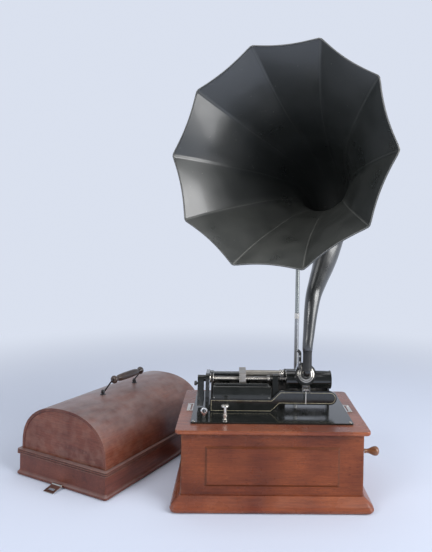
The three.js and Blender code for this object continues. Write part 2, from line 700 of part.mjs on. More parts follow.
// Cover over the shaft's left end: a shell open towards the post, held by its hub
function coverOutline(inset) {
  const radius = endCover.topRadius - inset;
  const shape = new THREE.Shape();
  shape.moveTo(endCover.front + inset, deck + endCover.bottom + inset);
  shape.lineTo(endCover.back - inset, deck + endCover.bottom + inset);
  shape.lineTo(shaft.y + radius, shaft.z - endCover.topDrop);
  shape.absarc(shaft.y, shaft.z - endCover.topDrop, radius, 0, Math.PI);
  shape.closePath();
  return shape;
}
const coverShell = cut(
  at(slabAlongX(coverOutline(0), endCover.depth), endCover.left, 0, 0),
  at(slabAlongX(coverOutline(endCover.wall), endCover.depth), endCover.left + endCover.wall, 0, 0),
);
const hubLeft = endCover.left + endCover.wall;
const coverHub = at(
  toX(tube(endCover.hubRadius, shaft.radius + 2 * running, 0, leftPostX - hubLeft)), hubLeft, shaft.y,
  shaft.z,
);
const coverLug = block(
  [hubLeft - seam, shaft.y - endCover.hubRadius, shaft.z - 2 * endCover.topRadius],
  [hubLeft + endCover.wall, shaft.y + endCover.hubRadius, shaft.z - shaft.radius - 2 * running],
);
place('end_cover', join(coverShell, coverHub, coverLug), blackEnamel());

// Feed screw with its nut, and the belt pulley
const screwLeft = feedScrew.left;
const nutLeft = feedScrew.right - feedScrew.nutSetback - feedScrew.nutLength;
const mandrelEnd = mandrel.left + mandrel.length;
const screwProfile = [
  [shaft.leftEnd, 0], [shaft.leftEnd, shaft.radius], [screwLeft, shaft.radius], [screwLeft, feedScrew.radius],
  [nutLeft, feedScrew.radius], [nutLeft, feedScrew.nutRadius], [
    nutLeft + feedScrew.nutLength, feedScrew.nutRadius,
  ],
  [nutLeft + feedScrew.nutLength, shaft.radius], [mandrelEnd - mandrel.wall, shaft.radius],
  [mandrelEnd - mandrel.wall, 0],
];
place('feed_screw', toX(turned(screwProfile)), steel(), gramophone, 0, shaft.y, shaft.z);

const rimmedPulley = ({ radius, rim, rimWidth }, width, bore) => turned([
  [0, bore], [0, radius + rim], [rimWidth, radius + rim], [rimWidth, radius], [width - rimWidth, radius],
  [width - rimWidth, radius + rim], [width, radius + rim], [width, bore], [0, bore],
], 24);
place(
  'mandrel_pulley', toX(rimmedPulley(pulley, pulley.width, shaft.radius + seam)), brass(), gramophone,
  pulley.left, shaft.y, shaft.z,
);

// Mandrel: a tapered sleeve, open at its right-hand end, on a web at the left
const mandrelProfile = [
  [0, shaft.radius + seam], [0, mandrel.bigRadius], [
    mandrel.length - mandrel.lipLength, mandrel.smallRadius,
  ],
  [mandrel.length - mandrel.lipLength, mandrel.lipRadius], [mandrel.length, mandrel.lipRadius],
  [mandrel.length, mandrel.smallRadius - mandrel.wall], [
    2 * mandrel.wall, mandrel.bigRadius - mandrel.wall,
  ],
  [2 * mandrel.wall, shaft.radius + seam], [0, shaft.radius + seam],
];
place('mandrel', toX(turned(mandrelProfile, 32)), blackEnamel(), gramophone, mandrel.left, shaft.y, shaft.z);

// Motor frame: two plates hung from the bedplate, tied by pillars
const motorPlate = () => {
  const shape = new THREE.Shape();
  const corner = motor.pillarInset;
  shape.moveTo(motor.front, lipTop);
  shape.lineTo(motor.front, motorBottom + corner);
  shape.quadraticCurveTo(motor.front, motorBottom, motor.front + corner, motorBottom);
  shape.lineTo(motor.back - corner, motorBottom);
  shape.quadraticCurveTo(motor.back, motorBottom, motor.back, motorBottom + corner);
  shape.lineTo(motor.back, lipTop);
  shape.closePath();
  shape.holes.push(hole(winder.y, winderZ, winder.radius + running));
  shape.holes.push(hole(middleShaft.y, middleShaft.z, motor.shaftRadius + running));
  shape.holes.push(hole(driveShaft.y, driveShaft.z, motor.shaftRadius + running));
  shape.holes.push(hole(governorShaft.y, governorShaft.z, governor.spindleRadius + running));
  return slabAlongX(shape, motor.plate, 5);
};
const pillars = [motor.front + motor.pillarInset, motor.back - motor.pillarInset].flatMap((y) => [
  motorBottom + motor.pillarInset, lipTop - motor.pillarInset,
].map((z) => at(toX(rod(motor.pillarRadius, motorLeft + seam, motorRight - seam, 12)), 0, y, z)));
place(
  'motor_frame',
  join(at(motorPlate(), motorLeft, 0, 0), at(motorPlate(), motorRight - motor.plate, 0, 0), ...pillars),
  steel(),
);

// Barrel with its gear, each train shaft with its wheels
const trainShaft = (left, right, radius) => toX(rod(radius, left, right, 14));
const trainLeft = motorLeft - motor.shaftLap;
const trainRight = motorRight + motor.shaftLap;
const barrelBore = winder.radius + running;
const barrelRight = barrel.left + barrel.length;
const barrelBody = toX(turned([
  [barrelGear.left, barrelBore], [barrelGear.left, barrel.neckRadius], [barrel.left, barrel.neckRadius],
  [barrel.left, barrel.radius], [barrelRight, barrel.radius], [barrelRight, barrelBore], [barrelGear.left, barrelBore],
], 36));
const barrelRim = at(
  slabAlongX(gearOutline(barrelGear, barrelBore), barrelGear.width), barrelGear.left, 0, 0,
);
place('spring_barrel', join(barrelBody, barrelRim), brass(), gramophone, 0, winder.y, winderZ);

// Half a tooth of phase brings a wheel into mesh along the line to its neighbour
const directionTurns = (from, to) => Math.atan2(to.z - from.z, to.y - from.y) / (2 * Math.PI);
const matchedPhase = (driver, driven, from, to, driverPhase) => {
  const seen = directionTurns(from, to) * driver.teeth - driverPhase;
  const facing = directionTurns(to, from) * driven.teeth;
  return facing + seen + 0.5;
};
const winderPlace = { y: winder.y, z: winderZ };
const middlePhase = matchedPhase(barrelGear, middlePinion, winderPlace, middleShaft, 0);
const drivePhase = matchedPhase(middleGear, drivePinion, middleShaft, driveShaft, 0);
const governorPhase = matchedPhase(driveGear, governorPinion, driveShaft, governorShaft, 0);
place('intermediate_gear', join(
  trainShaft(trainLeft, trainRight, motor.shaftRadius),
  gearWheel(middleGear, 0),
  gearWheel(middlePinion, middlePhase),
), brass(), gramophone, 0, middleShaft.y, middleShaft.z);
place('drive_shaft', join(
  trainShaft(pulley.left - motor.shaftLap, trainRight, motor.shaftRadius),
  gearWheel(driveGear, 0),
  gearWheel(drivePinion, drivePhase),
), brass(), gramophone, 0, driveShaft.y, driveShaft.z);
place(
  'drive_pulley', toX(rimmedPulley(drivePulley, pulley.width, motor.shaftRadius + seam)), steel(),
  gramophone, pulley.left, driveShaft.y, driveShaft.z,
);

// Governor: spindle and pinion, weights on flat springs between two collars, friction disc
function governorWeights() {
  const pieces = [at(toX(rod(governor.collarRadius, 0, governor.collarWidth, 16)), governor.left, 0, 0)];
  const discLeft = governor.left + governor.length - governor.discWidth;
  pieces.push(at(toX(rod(governor.discRadius, 0, governor.discWidth, 24)), discLeft, 0, 0));
  for (let i = 0; i < governor.balls; i += 1) {
    const angle = (2 * Math.PI * i) / governor.balls;
    const [y, z] = [governor.orbit * Math.cos(angle), governor.orbit * Math.sin(angle)];
    const ball = new THREE.SphereGeometry(governor.ballRadius, 8, 6);
    pieces.push(at(ball, governor.left + governor.length / 2, y, z));
    const spring = [
      new THREE.Vector3(governor.left + governor.collarWidth / 2, y / 2, z / 2),
      new THREE.Vector3(governor.left + governor.length / 2, y, z),
      new THREE.Vector3(discLeft + governor.discWidth / 2, y / 2, z / 2),
    ];
    pieces.push(bentRod(spring, governor.springRadius, 5, 4));
  }
  return pieces;
}
place('governor', join(
  trainShaft(trainLeft, trainRight, governor.spindleRadius),
  gearWheel(governorPinion, governorPhase),
  ...governorWeights(),
), brass(), gramophone, 0, governorShaft.y, governorShaft.z);

// Belt round the two pulleys, a loop of leather
const beltShape = (extra) => strapOutline(
  [shaft.y, shaft.z, pulley.radius + extra], [driveShaft.y, driveShaft.z, drivePulley.radius + extra],
);
const beltBand = beltShape(seam + belt.thickness);
beltBand.holes.push(beltShape(seam));
place('drive_belt', at(slabAlongX(beltBand, belt.width, 10), beltX - belt.width / 2, 0, 0), leather());

// Winding shaft and crank
const crankLeft = sideX + crank.standoff;
const crankRight = crankLeft + crank.thickness;
place(
  'winding_shaft', toX(rod(winder.radius, trainLeft, crankRight)), steel(), gramophone, 0, winder.y,
  winderZ,
);
const armShape = strapOutline([0, 0, crank.hubRadius], [-crank.forward, -crank.drop, crank.tipRadius]);
armShape.holes.push(hole(0, 0, winder.radius + seam));
const knobLeft = crankRight + knob.gap;
const pinLength = knob.gap + knob.length * knob.pinShare;
const crankPin = at(
  toX(rod(crank.pinRadius, -seam, pinLength, 14)), crank.thickness, -crank.forward, -crank.drop,
);
place(
  'crank_arm', join(slabAlongX(armShape, crank.thickness, 10), crankPin), steel(), gramophone, crankLeft,
  winder.y, winderZ,
);
const pinBore = crank.pinRadius + running;
const knobSolid = turned(
  [[0, 0], ...knobShares.map(([along, out]) => [along * knob.length, out * knob.swell])], 20,
);
const knobBore = rod(pinBore, -overrun, knob.length * knob.pinShare + seam, 14);
place(
  'crank_knob', toX(cut(knobSolid, knobBore)), darkMahogany(), gramophone, knobLeft, crankEnd.y, crankEnd.z,
);

// Controls
const speedProfile = [
  [-speedKnob.below, 0], [-speedKnob.below, speedKnob.stemRadius], [seam, speedKnob.stemRadius],
  [seam, speedKnob.footRadius], [speedKnob.footTop, speedKnob.footRadius], [
    speedKnob.footTop, speedKnob.stemRadius,
  ],
  [speedKnob.collarBottom, speedKnob.stemRadius], [speedKnob.collarBottom, speedKnob.collarRadius],
  [speedKnob.collarTop, speedKnob.collarRadius], [speedKnob.collarTop, speedKnob.stemRadius],
  [speedKnob.capBottom, speedKnob.stemRadius], [speedKnob.capBottom, speedKnob.capRadius],
  [speedKnob.capShoulder, speedKnob.capRadius], [
    speedKnob.capTop, speedKnob.capRadius * speedKnob.capFlatShare,
  ], [speedKnob.capTop, 0],
];
place('speed_knob', toZ(turned(speedProfile)), nickel(), gramophone, speedKnob.x, speedKnob.y, deck);

// Start and stop lever: finger end above the bedplate, brake shoe below it against the drive pulley
const shoeY = driveShaft.y - drivePulley.radius - drivePulley.rim - stopLever.shoeThickness - seam;
const shoeZ = driveShaft.z;
const leverPin = toZ(
  rod(stopLever.pinRadius, shoeZ - deck - stopLever.armWidth / 2, stopLever.armThickness + seam, 14),
);
const leverArm = block(
  [-stopLever.armWidth / 2, -stopLever.reach, seam],
  [stopLever.armWidth / 2, stopLever.armWidth / 2, stopLever.armThickness],
);
const leverRiser = block(
  [-stopLever.armWidth / 2, -stopLever.reach - stopLever.armThickness, seam],
  [stopLever.armWidth / 2, -stopLever.reach, stopLever.rise],
);
const leverHead = at(
  tube(stopLever.headRadius, stopLever.headBore, 0, stopLever.headThickness), 0,
  -stopLever.reach - stopLever.headThickness, stopLever.rise + stopLever.headBore,
);
place(
  'start_lever', join(leverPin, leverArm, leverRiser, leverHead), nickel(), gramophone, stopLever.x,
  stopLever.y, deck,
);
const brakeReachX = beltX - stopLever.x;
const brakeStrut = (() => {
  const shape = strapOutline(
    [0, 0, stopLever.armWidth], [brakeReachX, shoeY - stopLever.y, stopLever.armWidth / 2],
  );
  shape.holes.push(hole(0, 0, stopLever.pinRadius + seam));
  return at(slab(shape, stopLever.armThickness), 0, 0, -stopLever.armThickness / 2);
})();
const brakePad = block(
  [brakeReachX - stopLever.shoeLength / 2, shoeY - stopLever.y, -stopLever.armWidth / 2],
  [
    brakeReachX + stopLever.shoeLength / 2, shoeY - stopLever.y + stopLever.shoeThickness,
    stopLever.armWidth / 2,
  ],
);
place('brake_arm', join(brakeStrut, brakePad), steel(), gramophone, stopLever.x, stopLever.y, shoeZ);

// Carriage: sleeve on the back rod
const slideBore = backRod.radius + running;
const sleeveProfile = [[sleeve.left, slideBore], [sleeve.left, sleeve.radius]];
for (let i = sleeve.bands - 1; i >= 0; i -= 1) {
  const right = sleeve.bareRight - i * sleeve.bandPitch;
  sleeveProfile.push(
    [right - sleeve.bandWidth, sleeve.radius], [right - sleeve.bandWidth, sleeve.bandRadius],
  );
  sleeveProfile.push([right, sleeve.bandRadius], [right, sleeve.radius]);
}
sleeveProfile.push(
  [sleeve.hubRight, sleeve.radius], [sleeve.hubRight, slideBore], [sleeve.left, slideBore],
);
place('carriage_sleeve', toX(turned(sleeveProfile)), nickel(), gramophone, 0, backRod.y, backRod.z);

// Arm that carries the half nut over the feed screw
const armTop = shaft.z + feedScrew.radius + feedArm.lift + feedArm.thickness;
const armFront = shaft.y - feedArm.reach - feedArm.strap;
const feedCollar = at(toX(rod(feedArm.collarRadius, 0, feedArm.width)), feedArm.left, backRod.y, backRod.z);
const feedBeam = block(
  [feedArm.left, armFront, armTop - feedArm.thickness], [feedArm.left + feedArm.width, backRod.y, armTop],
);
const feedStrap = block(
  [feedArm.left, armFront, armTop - feedArm.strapDrop],
  [feedArm.left + feedArm.width, armFront + feedArm.strap, armTop],
);
const halfNut = block(
  [feedArm.left + feedArm.strap, shaft.y - feedScrew.radius, shaft.z + feedScrew.radius + seam],
  [
    feedArm.left + feedArm.width - feedArm.strap, shaft.y + feedScrew.radius,
    armTop - feedArm.thickness + seam,
  ],
);
const rodClear = at(
  toX(rod(slideBore, -overrun, feedArm.width + overrun)), feedArm.left, backRod.y, backRod.z,
);
place('feed_nut_arm', cut(join(feedCollar, feedBeam, feedStrap, halfNut), rodClear), nickel());

// Cast arm over the mandrel, with the eye that holds the reproducer
const tilt = radians(eye.tiltDeg);
const facing = { y: -Math.cos(tilt), z: Math.sin(tilt) }; // out of the front of the eye
const onFace = (out, up) => [
  eye.y + facing.y * out + facing.z * up, eye.z + facing.z * out - facing.y * up,
];
// A lathe piece whose axis runs out through the eye, from the eye's centre
const onEyeAxis = (geometry) => geometry.rotateX(Math.PI - tilt);

function archOutline() {
  const outer = arch.inner + arch.thickness;
  const deg = archDeg;
  const shape = new THREE.Shape();
  shape.absarc(shaft.y, shaft.z, arch.inner, radians(deg.innerFront), radians(deg.innerBack), true);
  shape.absarc(backRod.y, backRod.z, arch.hubRadius, radians(deg.hubFront), radians(deg.hubBack), false);
  shape.absarc(shaft.y, shaft.z, outer, radians(deg.outerBack), radians(deg.outerFront), false);
  shape.lineTo(...onFace(eye.thickness / 2, arch.neckTop));
  shape.lineTo(...onFace(eye.thickness / 2, arch.neckBottom));
  shape.lineTo(...onFace(-arch.neckBack, arch.neckBottom));
  shape.closePath();
  return shape;
}

const archLeft = playX - arch.width / 2;
const archBand = at(slabAlongX(archOutline(), arch.width, 14), archLeft, 0, 0);
const hubLeftX = sleeve.bareRight + 2 * seam;
const hubLength = sleeve.hubRight - hubLeftX;
const carriageHub = at(toX(rod(arch.hubRadius, 0, hubLength)), hubLeftX, backRod.y, backRod.z);
const eyeRing = at(
  onEyeAxis(rod(eye.outer, -eye.thickness / 2, eye.thickness / 2, 32)), playX, eye.y, eye.z,
);
const footBottom = deck + casting.tongueTop + seam;
const footTop = eye.z - eye.inner;
const frontFoot = block(
  [playX - foot.width / 2, foot.front, footBottom], [playX + foot.width / 2, foot.back, footTop],
);
const pinY = foot.front - ear.reach / 2;
const pinZ = footBottom + ear.drop;
const ears = [-1, 1].map((side) => {
  const x = playX + side * (ear.span / 2 + ear.thickness / 2);
  return block(
    [x - ear.thickness / 2, foot.front - ear.reach, pinZ - ear.height / 2],
    [x + ear.thickness / 2, foot.front + seam, pinZ + ear.height / 2],
  );
});
const earBridge = block(
  [
    playX - ear.span / 2 - ear.thickness, foot.front - ear.thickness,
    footBottom + ear.drop + lever.hubRadius + 2 * seam,
  ],
  [playX + ear.span / 2 + ear.thickness, foot.front + seam, footTop],
);
const leverAxle = at(
  toX(rod(ear.pinRadius, -ear.span / 2 - ear.thickness / 2, ear.span / 2 + ear.thickness / 2, 12)), playX,
  pinY, pinZ,
);
const eyeBore = at(onEyeAxis(rod(eye.inner, -eye.thickness, eye.thickness, 32)), playX, eye.y, eye.z);
const hubBore = at(
  toX(rod(sleeve.radius + seam, -overrun, hubLength + overrun)), hubLeftX, backRod.y, backRod.z,
);
place(
  'carriage_arm',
  cut(join(archBand, carriageHub, eyeRing, frontFoot, ...ears, earBridge, leverAxle), eyeBore, hubBore),
  blackEnamel(),
);

// Reproducer, its nickel ring and the hinged weight with the stylus
place(
  'reproducer', onEyeAxis(rod(reproducer.radius, -reproducer.thickness / 2, reproducer.thickness / 2, 32)),
  blackEnamel(), gramophone, playX, eye.y, eye.z,
);
const ringFrom = reproducer.thickness / 2 + seam;
place(
  'reproducer_ring',
  onEyeAxis(
    tube(reproducer.ringOuter, reproducer.ringInner, ringFrom, ringFrom + reproducer.ringThickness, 32),
  ),
  nickel(), gramophone, playX, eye.y, eye.z,
);

const weightFrom = -reproducer.thickness / 2 - stylus.gap;
const weightPlate = onEyeAxis(rod(stylus.radius, weightFrom - stylus.thickness, weightFrom, 24));
const tipFrom = weightFrom - stylus.thickness;
const stylusTip = onEyeAxis(
  turned(
    [
      [tipFrom - stylus.tipReach, 0], [tipFrom, stylus.tipRadius], [tipFrom + seam, stylus.tipRadius],
      [tipFrom + seam, 0],
    ],
    10,
  ),
);
const tipDown = { y: -Math.sin(tilt) * stylus.drop, z: -Math.cos(tilt) * stylus.drop };
place(
  'stylus_weight', join(weightPlate, at(stylusTip, 0, tipDown.y, tipDown.z)), steel(), gramophone, playX,
  eye.y, eye.z,
);

// Lever that lifts the reproducer clear of the record
const leverHub = toX(
  tube(lever.hubRadius, ear.pinRadius + running, -ear.span / 2 + seam, ear.span / 2 - seam, 16),
);
const leverBlade = toZ(rod(lever.radius, -lever.length, -ear.pinRadius - 2 * running, 10));
place('lift_lever', join(leverHub, leverBlade), nickel(), gramophone, playX, pinY, pinZ);

// Sound elbow and the rubber cuff that joins it to the horn
const cornerOut = (elbow.y - eye.y) / facing.y;
const [, cornerZ] = onFace(cornerOut, 0);
const elbowTurn = Math.PI / 2 - tilt;
const tangentRun = elbow.bend * Math.tan(elbowTurn / 2);
const handle = (elbow.bend * Math.tan(elbowTurn / 4) * 4) / 3;
const bendFrom = onFace(cornerOut - tangentRun, 0);
const bendTo = [elbow.y, cornerZ + tangentRun];
const elbowPath = [
  run(onFace(ringFrom, 0), bendFrom),
  new THREE.CubicBezierCurve3(
    inPlane(...bendFrom),
    inPlane(...onFace(cornerOut - tangentRun + handle, 0)),
    inPlane(elbow.y, cornerZ + tangentRun - handle),
    inPlane(...bendTo),
  ),
  run(bendTo, [elbow.y, elbow.top]),
];
place('sound_elbow', sweptAlong(elbowPath, elbow.radius, 16), blackRubber(), gramophone, playX);
place(
  'rubber_cuff', toZ(tube(cuff.radius, elbow.radius + seam, cuff.bottom, cuff.top)), blackRubber(),
  gramophone, playX, elbow.y, 0,
);

// Horn
const azimuth = radians(horn.azimuthDeg);
const backward = new THREE.Vector3(Math.sin(azimuth), Math.cos(azimuth), 0);
const sideways = new THREE.Vector3(Math.cos(azimuth), -Math.sin(azimuth), 0);
const hornCurve = new THREE.CatmullRomCurve3(
  hornPathShares.map(([back, up]) => new THREE.Vector3(back * horn.rise, 0, up * horn.rise)), false,
  'centripetal',
);
const hornRadius = (share) => (horn.throat / 2) * (horn.mouth / horn.throat) ** share;
const smoothStep = (value, low, high) => THREE.MathUtils.smoothstep(value, low, high);

// Ring of points round the centreline: round in the neck, ten-sided in the bell, the rim drawn in between corners
function hornSection(share, grow, count) {
  const centre = hornCurve.getPointAt(share);
  const tangent = hornCurve.getTangentAt(share);
  const panelHalf = Math.PI / horn.panels;
  const panelled = smoothStep(share, horn.roundUntilShare, horn.panelledFromShare);
  const dip = horn.rimDipShare * smoothStep(share, horn.panelledFromShare, 1);
  const twist = radians(horn.twistDeg);
  const points = [];
  for (let i = 0; i < count; i += 1) {
    const angle = (2 * Math.PI * i) / count;
    const offPanel = ((angle + panelHalf) % (2 * panelHalf)) - panelHalf;
    const flat = Math.cos(panelHalf) / Math.cos(offPanel);
    const inward = 1 - dip * (1 - (offPanel / panelHalf) ** 2);
    const radius = hornRadius(share) * (1 + panelled * (flat - 1)) * inward + grow;
    const up = radius * Math.cos(angle + twist);
    const across = radius * Math.sin(angle + twist);
    const back = centre.x + tangent.z * up;
    const height = centre.z - tangent.x * up;
    points.push(new THREE.Vector3(
      back * backward.x + across * sideways.x,
      back * backward.y + across * sideways.y,
      height,
    ));
  }
  return points;
}

// A thin wall between two shares of the centreline
function hornWall(from, to, steps, count) {
  const shares = Array.from({ length: steps + 1 }, (_, i) => from + ((to - from) * i) / steps);
  const outside = shares.map((share) => hornSection(share, horn.wall, count));
  const inside = [...shares].reverse().map((share) => hornSection(share, 0, count));
  return skin([...outside, ...inside], true);
}

const bellStart = horn.bellStartShare;
const jointShare = seam / horn.rise;
const neckTube = hornWall(0, bellStart - jointShare, 15, 2 * horn.panels);
const plugBore = horn.plugRadius - horn.wall;
const plug = toZ(tube(horn.plugRadius, plugBore, -horn.plugLength, horn.wall, 20));
const plugFlange = toZ(tube(horn.throat / 2 + horn.wall / 2, plugBore, 0, horn.wall, 20));
const neckBase = cuff.top + horn.wall;
place('horn_neck', join(neckTube, plug, plugFlange), satinBlack(), gramophone, playX, elbow.y, neckBase);
place(
  'horn_bell', hornWall(bellStart, 1, 20, 2 * horn.panels), satinBlack(), gramophone, playX, elbow.y,
  neckBase,
);

// Ring on top of the horn, over the swivel's axis: found by halving along the top panel
const panelTop = (share) => {
  const [top] = hornSection(share, horn.wall, horn.panels);
  return { back: top.dot(backward), z: top.z };
};
let [beforeTop, afterTop] = [bellStart, 1];
for (let i = 0; i < 30; i += 1) {
  const middle = (beforeTop + afterTop) / 2;
  if (panelTop(middle).back > 0) beforeTop = middle;
  else afterTop = middle;
}
const [behind, beyond] = [
  panelTop(beforeTop - hornRing.nearShare), panelTop(beforeTop + hornRing.nearShare),
];
const topSlope = Math.atan2(beyond.z - behind.z, behind.back - beyond.back);
const hornTop = neckBase + panelTop(beforeTop).z;
const ringZ = hornTop + hornRing.lift + hornRing.padThickness + hornRing.radius;
const padHalf = [hornRing.padLength / 2, hornRing.padWidth / 2];
const ringPad = block([-padHalf[0], -padHalf[1], 0], [...padHalf, hornRing.padThickness])
  .rotateY(topSlope).rotateZ(Math.PI / 2 - azimuth).translate(
    0, 0, -hornRing.radius - hornRing.padThickness,
  );
const ringWire = new THREE.TorusGeometry(hornRing.radius, hornRing.wire, 7, 20).rotateX(Math.PI / 2);
const ringStem = toZ(
  rod(hornRing.wire * 1.5, -hornRing.radius - hornRing.padThickness + seam, -hornRing.radius + seam, 12),
);
place('horn_ring', join(ringWire, ringPad, ringStem), nickel(), gramophone, playX, elbow.y, ringZ);

// Crane
const craneY = backY + crane.standoff;
const bracketTop = bodyTop - bracket.topGap;
const bracketBoss = (z) => at(toZ(rod(bracket.bossRadius, 0, bracket.bossHeight)), 0, 0, z);
const bracketWeb = (z) => block(
  [-bracket.webHalf, -crane.standoff + seam, z], [bracket.webHalf, 0, z + bracket.bossHeight],
);
const bracketPlate = block(
  [-bracket.halfWidth, -crane.standoff, bracket.bottom],
  [bracket.halfWidth, -crane.standoff + bracket.thickness, bracketTop],
);
const upperBoss = bracketTop - bracket.bossHeight;
const tubeSocket = toZ(
  rod(crane.tubeRadius + seam, crane.tubeBottom, upperBoss + bracket.bossHeight + overrun),
);
place(
  'crane_bracket',
  cut(
    join(
      bracketPlate, bracketBoss(bracket.bottom), bracketWeb(bracket.bottom), bracketBoss(upperBoss),
      bracketWeb(upperBoss),
    ),
    tubeSocket,
  ),
  blackEnamel(), gramophone, playX, craneY, 0,
);
const rodBore = crane.spigotRadius + running;
place('crane_tube', toZ(turned([
  [crane.tubeBottom + seam, 0], [crane.tubeBottom + seam, crane.tubeRadius], [
    crane.tubeTop, crane.tubeRadius,
  ], [crane.tubeTop, rodBore],
  [crane.spigotBottom - seam, rodBore], [crane.spigotBottom - seam, 0],
])), steel(), gramophone, playX, craneY, 0);
const collarTop = crane.tubeTop + crane.collarHeight;
place(
  'crane_collar', toZ(tube(crane.collarRadius, rodBore, crane.tubeTop, collarTop)), nickel(), gramophone,
  playX, craneY, 0,
);

const reach = craneY - elbow.y;
const hookZ = ringZ + hornRing.radius;
const tipZ = hookZ + hook.reach;
const armZ = tipZ + crane.tipBend;
const cranePath = [
  run([0, collarTop + seam], [0, armZ - crane.bend]),
  bend([0, armZ - crane.bend], [0, armZ], [-crane.bend, armZ]),
  run([-crane.bend, armZ], [crane.tipBend - reach, armZ]),
  bend([crane.tipBend - reach, armZ], [-reach, armZ], [-reach, tipZ]),
];
const spigot = toZ(rod(crane.spigotRadius, crane.spigotBottom, collarTop + crane.spigotRadius));
place(
  'crane_rod', join(sweptAlong(cranePath, crane.rodRadius, 14), spigot), nickel(), gramophone, playX,
  craneY, 0,
);

const hookSweep = 2 * Math.PI - radians(hook.openDeg);
const hookEnd = Math.PI / 2 + hookSweep;
const hookBall = at(
  new THREE.SphereGeometry(hook.ballRadius, 8, 6), 0, hook.radius * Math.cos(hookEnd),
  hook.radius * Math.sin(hookEnd),
);
const hookShank = toZ(rod(hook.shankRadius, hook.radius - hook.wire / 2, tipZ - seam - hookZ, 12));
place(
  'crane_hook', join(openRing(hook.radius, hook.wire, hookSweep), hookBall, hookShank), nickel(),
  gramophone, playX, elbow.y, hookZ,
);

// Lid
const lidGroup = new THREE.Group();
const lidTurn = radians(lid.turnDeg);
const fromCorner = new THREE.Vector2(-lidStand.slide, lid.width / 2 + lidStand.clear);
fromCorner.rotateAround(new THREE.Vector2(), lidTurn);
lidGroup.position.set(fromCorner.x - sideX - base.reach, fromCorner.y + backY + base.reach, 0);
lidGroup.rotation.z = lidTurn;
gramophone.add(lidGroup);

const bandHalfX = lid.length / 2 - lid.step;
const bandHalfY = lid.width / 2 - lid.step;
const innerHalfX = lidArchLength / 2 - lid.panel;
const innerHalfY = lidArchHalf - lid.shell;
const band = mouldedBoard(
  bandHalfX, bandHalfY, cabinet.cornerRadius, lid.step, lid.bandHeight, lidBandShares,
);
place(
  'lid_band',
  cut(
    band, block([-innerHalfX, -innerHalfY, -overrun], [innerHalfX, innerHalfY, lid.bandHeight + overrun]),
  ),
  darkMahogany(), lidGroup,
);

function lidArch(inset, samples) {
  const half = lidArchHalf - inset;
  const rise = lidApex - inset - lidShoulder;
  return Array.from({ length: samples + 1 }, (_, i) => {
    const angle = (Math.PI * i) / samples;
    const y = Math.sign(Math.cos(angle)) * Math.abs(Math.cos(angle)) ** (2 / lid.bulge) * half;
    const z = Math.sin(angle) ** (2 / lid.bulge) * rise + lidShoulder;
    return new THREE.Vector2(y, z);
  });
}

const archSamples = 28;
function lidShellOutline() {
  const outer = lidArch(0, archSamples);
  const inner = lidArch(lid.shell, archSamples).reverse();
  return new THREE.Shape([
    new THREE.Vector2(lidArchHalf, lid.bandHeight), ...outer, new THREE.Vector2(-lidArchHalf, lid.bandHeight),
    new THREE.Vector2(-lidArchHalf + lid.shell, lid.bandHeight), ...inner, new THREE.Vector2(
      lidArchHalf - lid.shell, lid.bandHeight,
    ),
  ]);
}
place(
  'lid_shell', at(slabAlongX(lidShellOutline(), lidArchLength), -lidArchLength / 2, 0, 0), darkMahogany(),
  lidGroup,
);

function lidEndOutline() {
  const inset = lid.shell + seam;
  return new THREE.Shape([
    new THREE.Vector2(lidArchHalf - inset, lid.bandHeight),
    ...lidArch(inset, archSamples),
    new THREE.Vector2(-lidArchHalf + inset, lid.bandHeight),
  ]);
}
const endRecess = lid.panel / 8;
const lidEnds = [
  ['lid_end_near', -lidArchLength / 2 + endRecess],
  ['lid_end_far', lidArchLength / 2 - endRecess - lid.panel],
];
for (const [name, x] of lidEnds) {
  place(name, at(slabAlongX(lidEndOutline(), lid.panel), x, 0, 0), darkMahogany(), lidGroup);
}

// Handle on the lid: two screw eyes, a wire bail and a turned grip
const eyeZ = lidApex + bail.eyeRise;
for (const [name, side] of [['bail_eye_near', -1], ['bail_eye_far', 1]]) {
  const ring = new THREE.TorusGeometry(bail.eyeRadius, bail.eyeWire, 6, 12).rotateY(Math.PI / 2);
  const footDisc = toZ(rod(bail.footRadius, -bail.eyeRise + seam, -bail.eyeRise + bail.footThickness, 14));
  place(name, join(ring, footDisc), steel(), lidGroup, side * bail.halfSpan, 0, eyeZ);
}
const leanY = -Math.sin(radians(bail.leanDeg));
const leanZ = Math.cos(radians(bail.leanDeg));
const bailSpot = (x, length) => new THREE.Vector3(x, leanY * length, leanZ * length);
const gripHalf = grip.length / 2;
const [wireStart, legFoot] = [bail.halfSpan + bail.pinReach, bail.halfSpan - bail.pinReach];
const legTop = gripHalf + bail.kneeRadius + seam;
function bailWire() {
  const steps = [
    [-wireStart, 0], [-legFoot, 0], [-legTop, bail.legLength], [legTop, bail.legLength], [legFoot, 0], [wireStart, 0],
  ];
  const runs = steps.slice(1).map(([x, length], i) => {
    const from = bailSpot(...steps[i]);
    const to = bailSpot(x, length);
    const run = toZ(rod(bail.wire, 0, from.distanceTo(to), 8));
    run.applyQuaternion(
      new THREE.Quaternion().setFromUnitVectors(
        new THREE.Vector3(0, 0, 1), to.clone().sub(from).normalize(),
      ),
    );
    return run.translate(from.x, from.y, from.z);
  });
  const knees = steps.slice(1, -1).map(([x, length]) => {
    const spot = bailSpot(x, length);
    return new THREE.SphereGeometry(bail.kneeRadius, 8, 6).translate(spot.x, spot.y, spot.z);
  });
  return join(...runs, ...knees);
}
place('bail', bailWire(), steel(), lidGroup, 0, 0, eyeZ);
const gripBore = bail.wire + seam;
const gripProfile = [[-gripHalf, gripBore]];
for (const [share, out] of gripBeadShares) gripProfile.push(
  [-gripHalf + share * grip.length, out * grip.beadRadius],
);
gripProfile.push(
  [-gripHalf / 3, grip.swellRadius * grip.shoulderShare], [0, grip.swellRadius],
  [gripHalf / 3, grip.swellRadius * grip.shoulderShare],
);
for (const [share, out] of [...gripBeadShares].reverse()) gripProfile.push(
  [gripHalf - share * grip.length, out * grip.beadRadius],
);
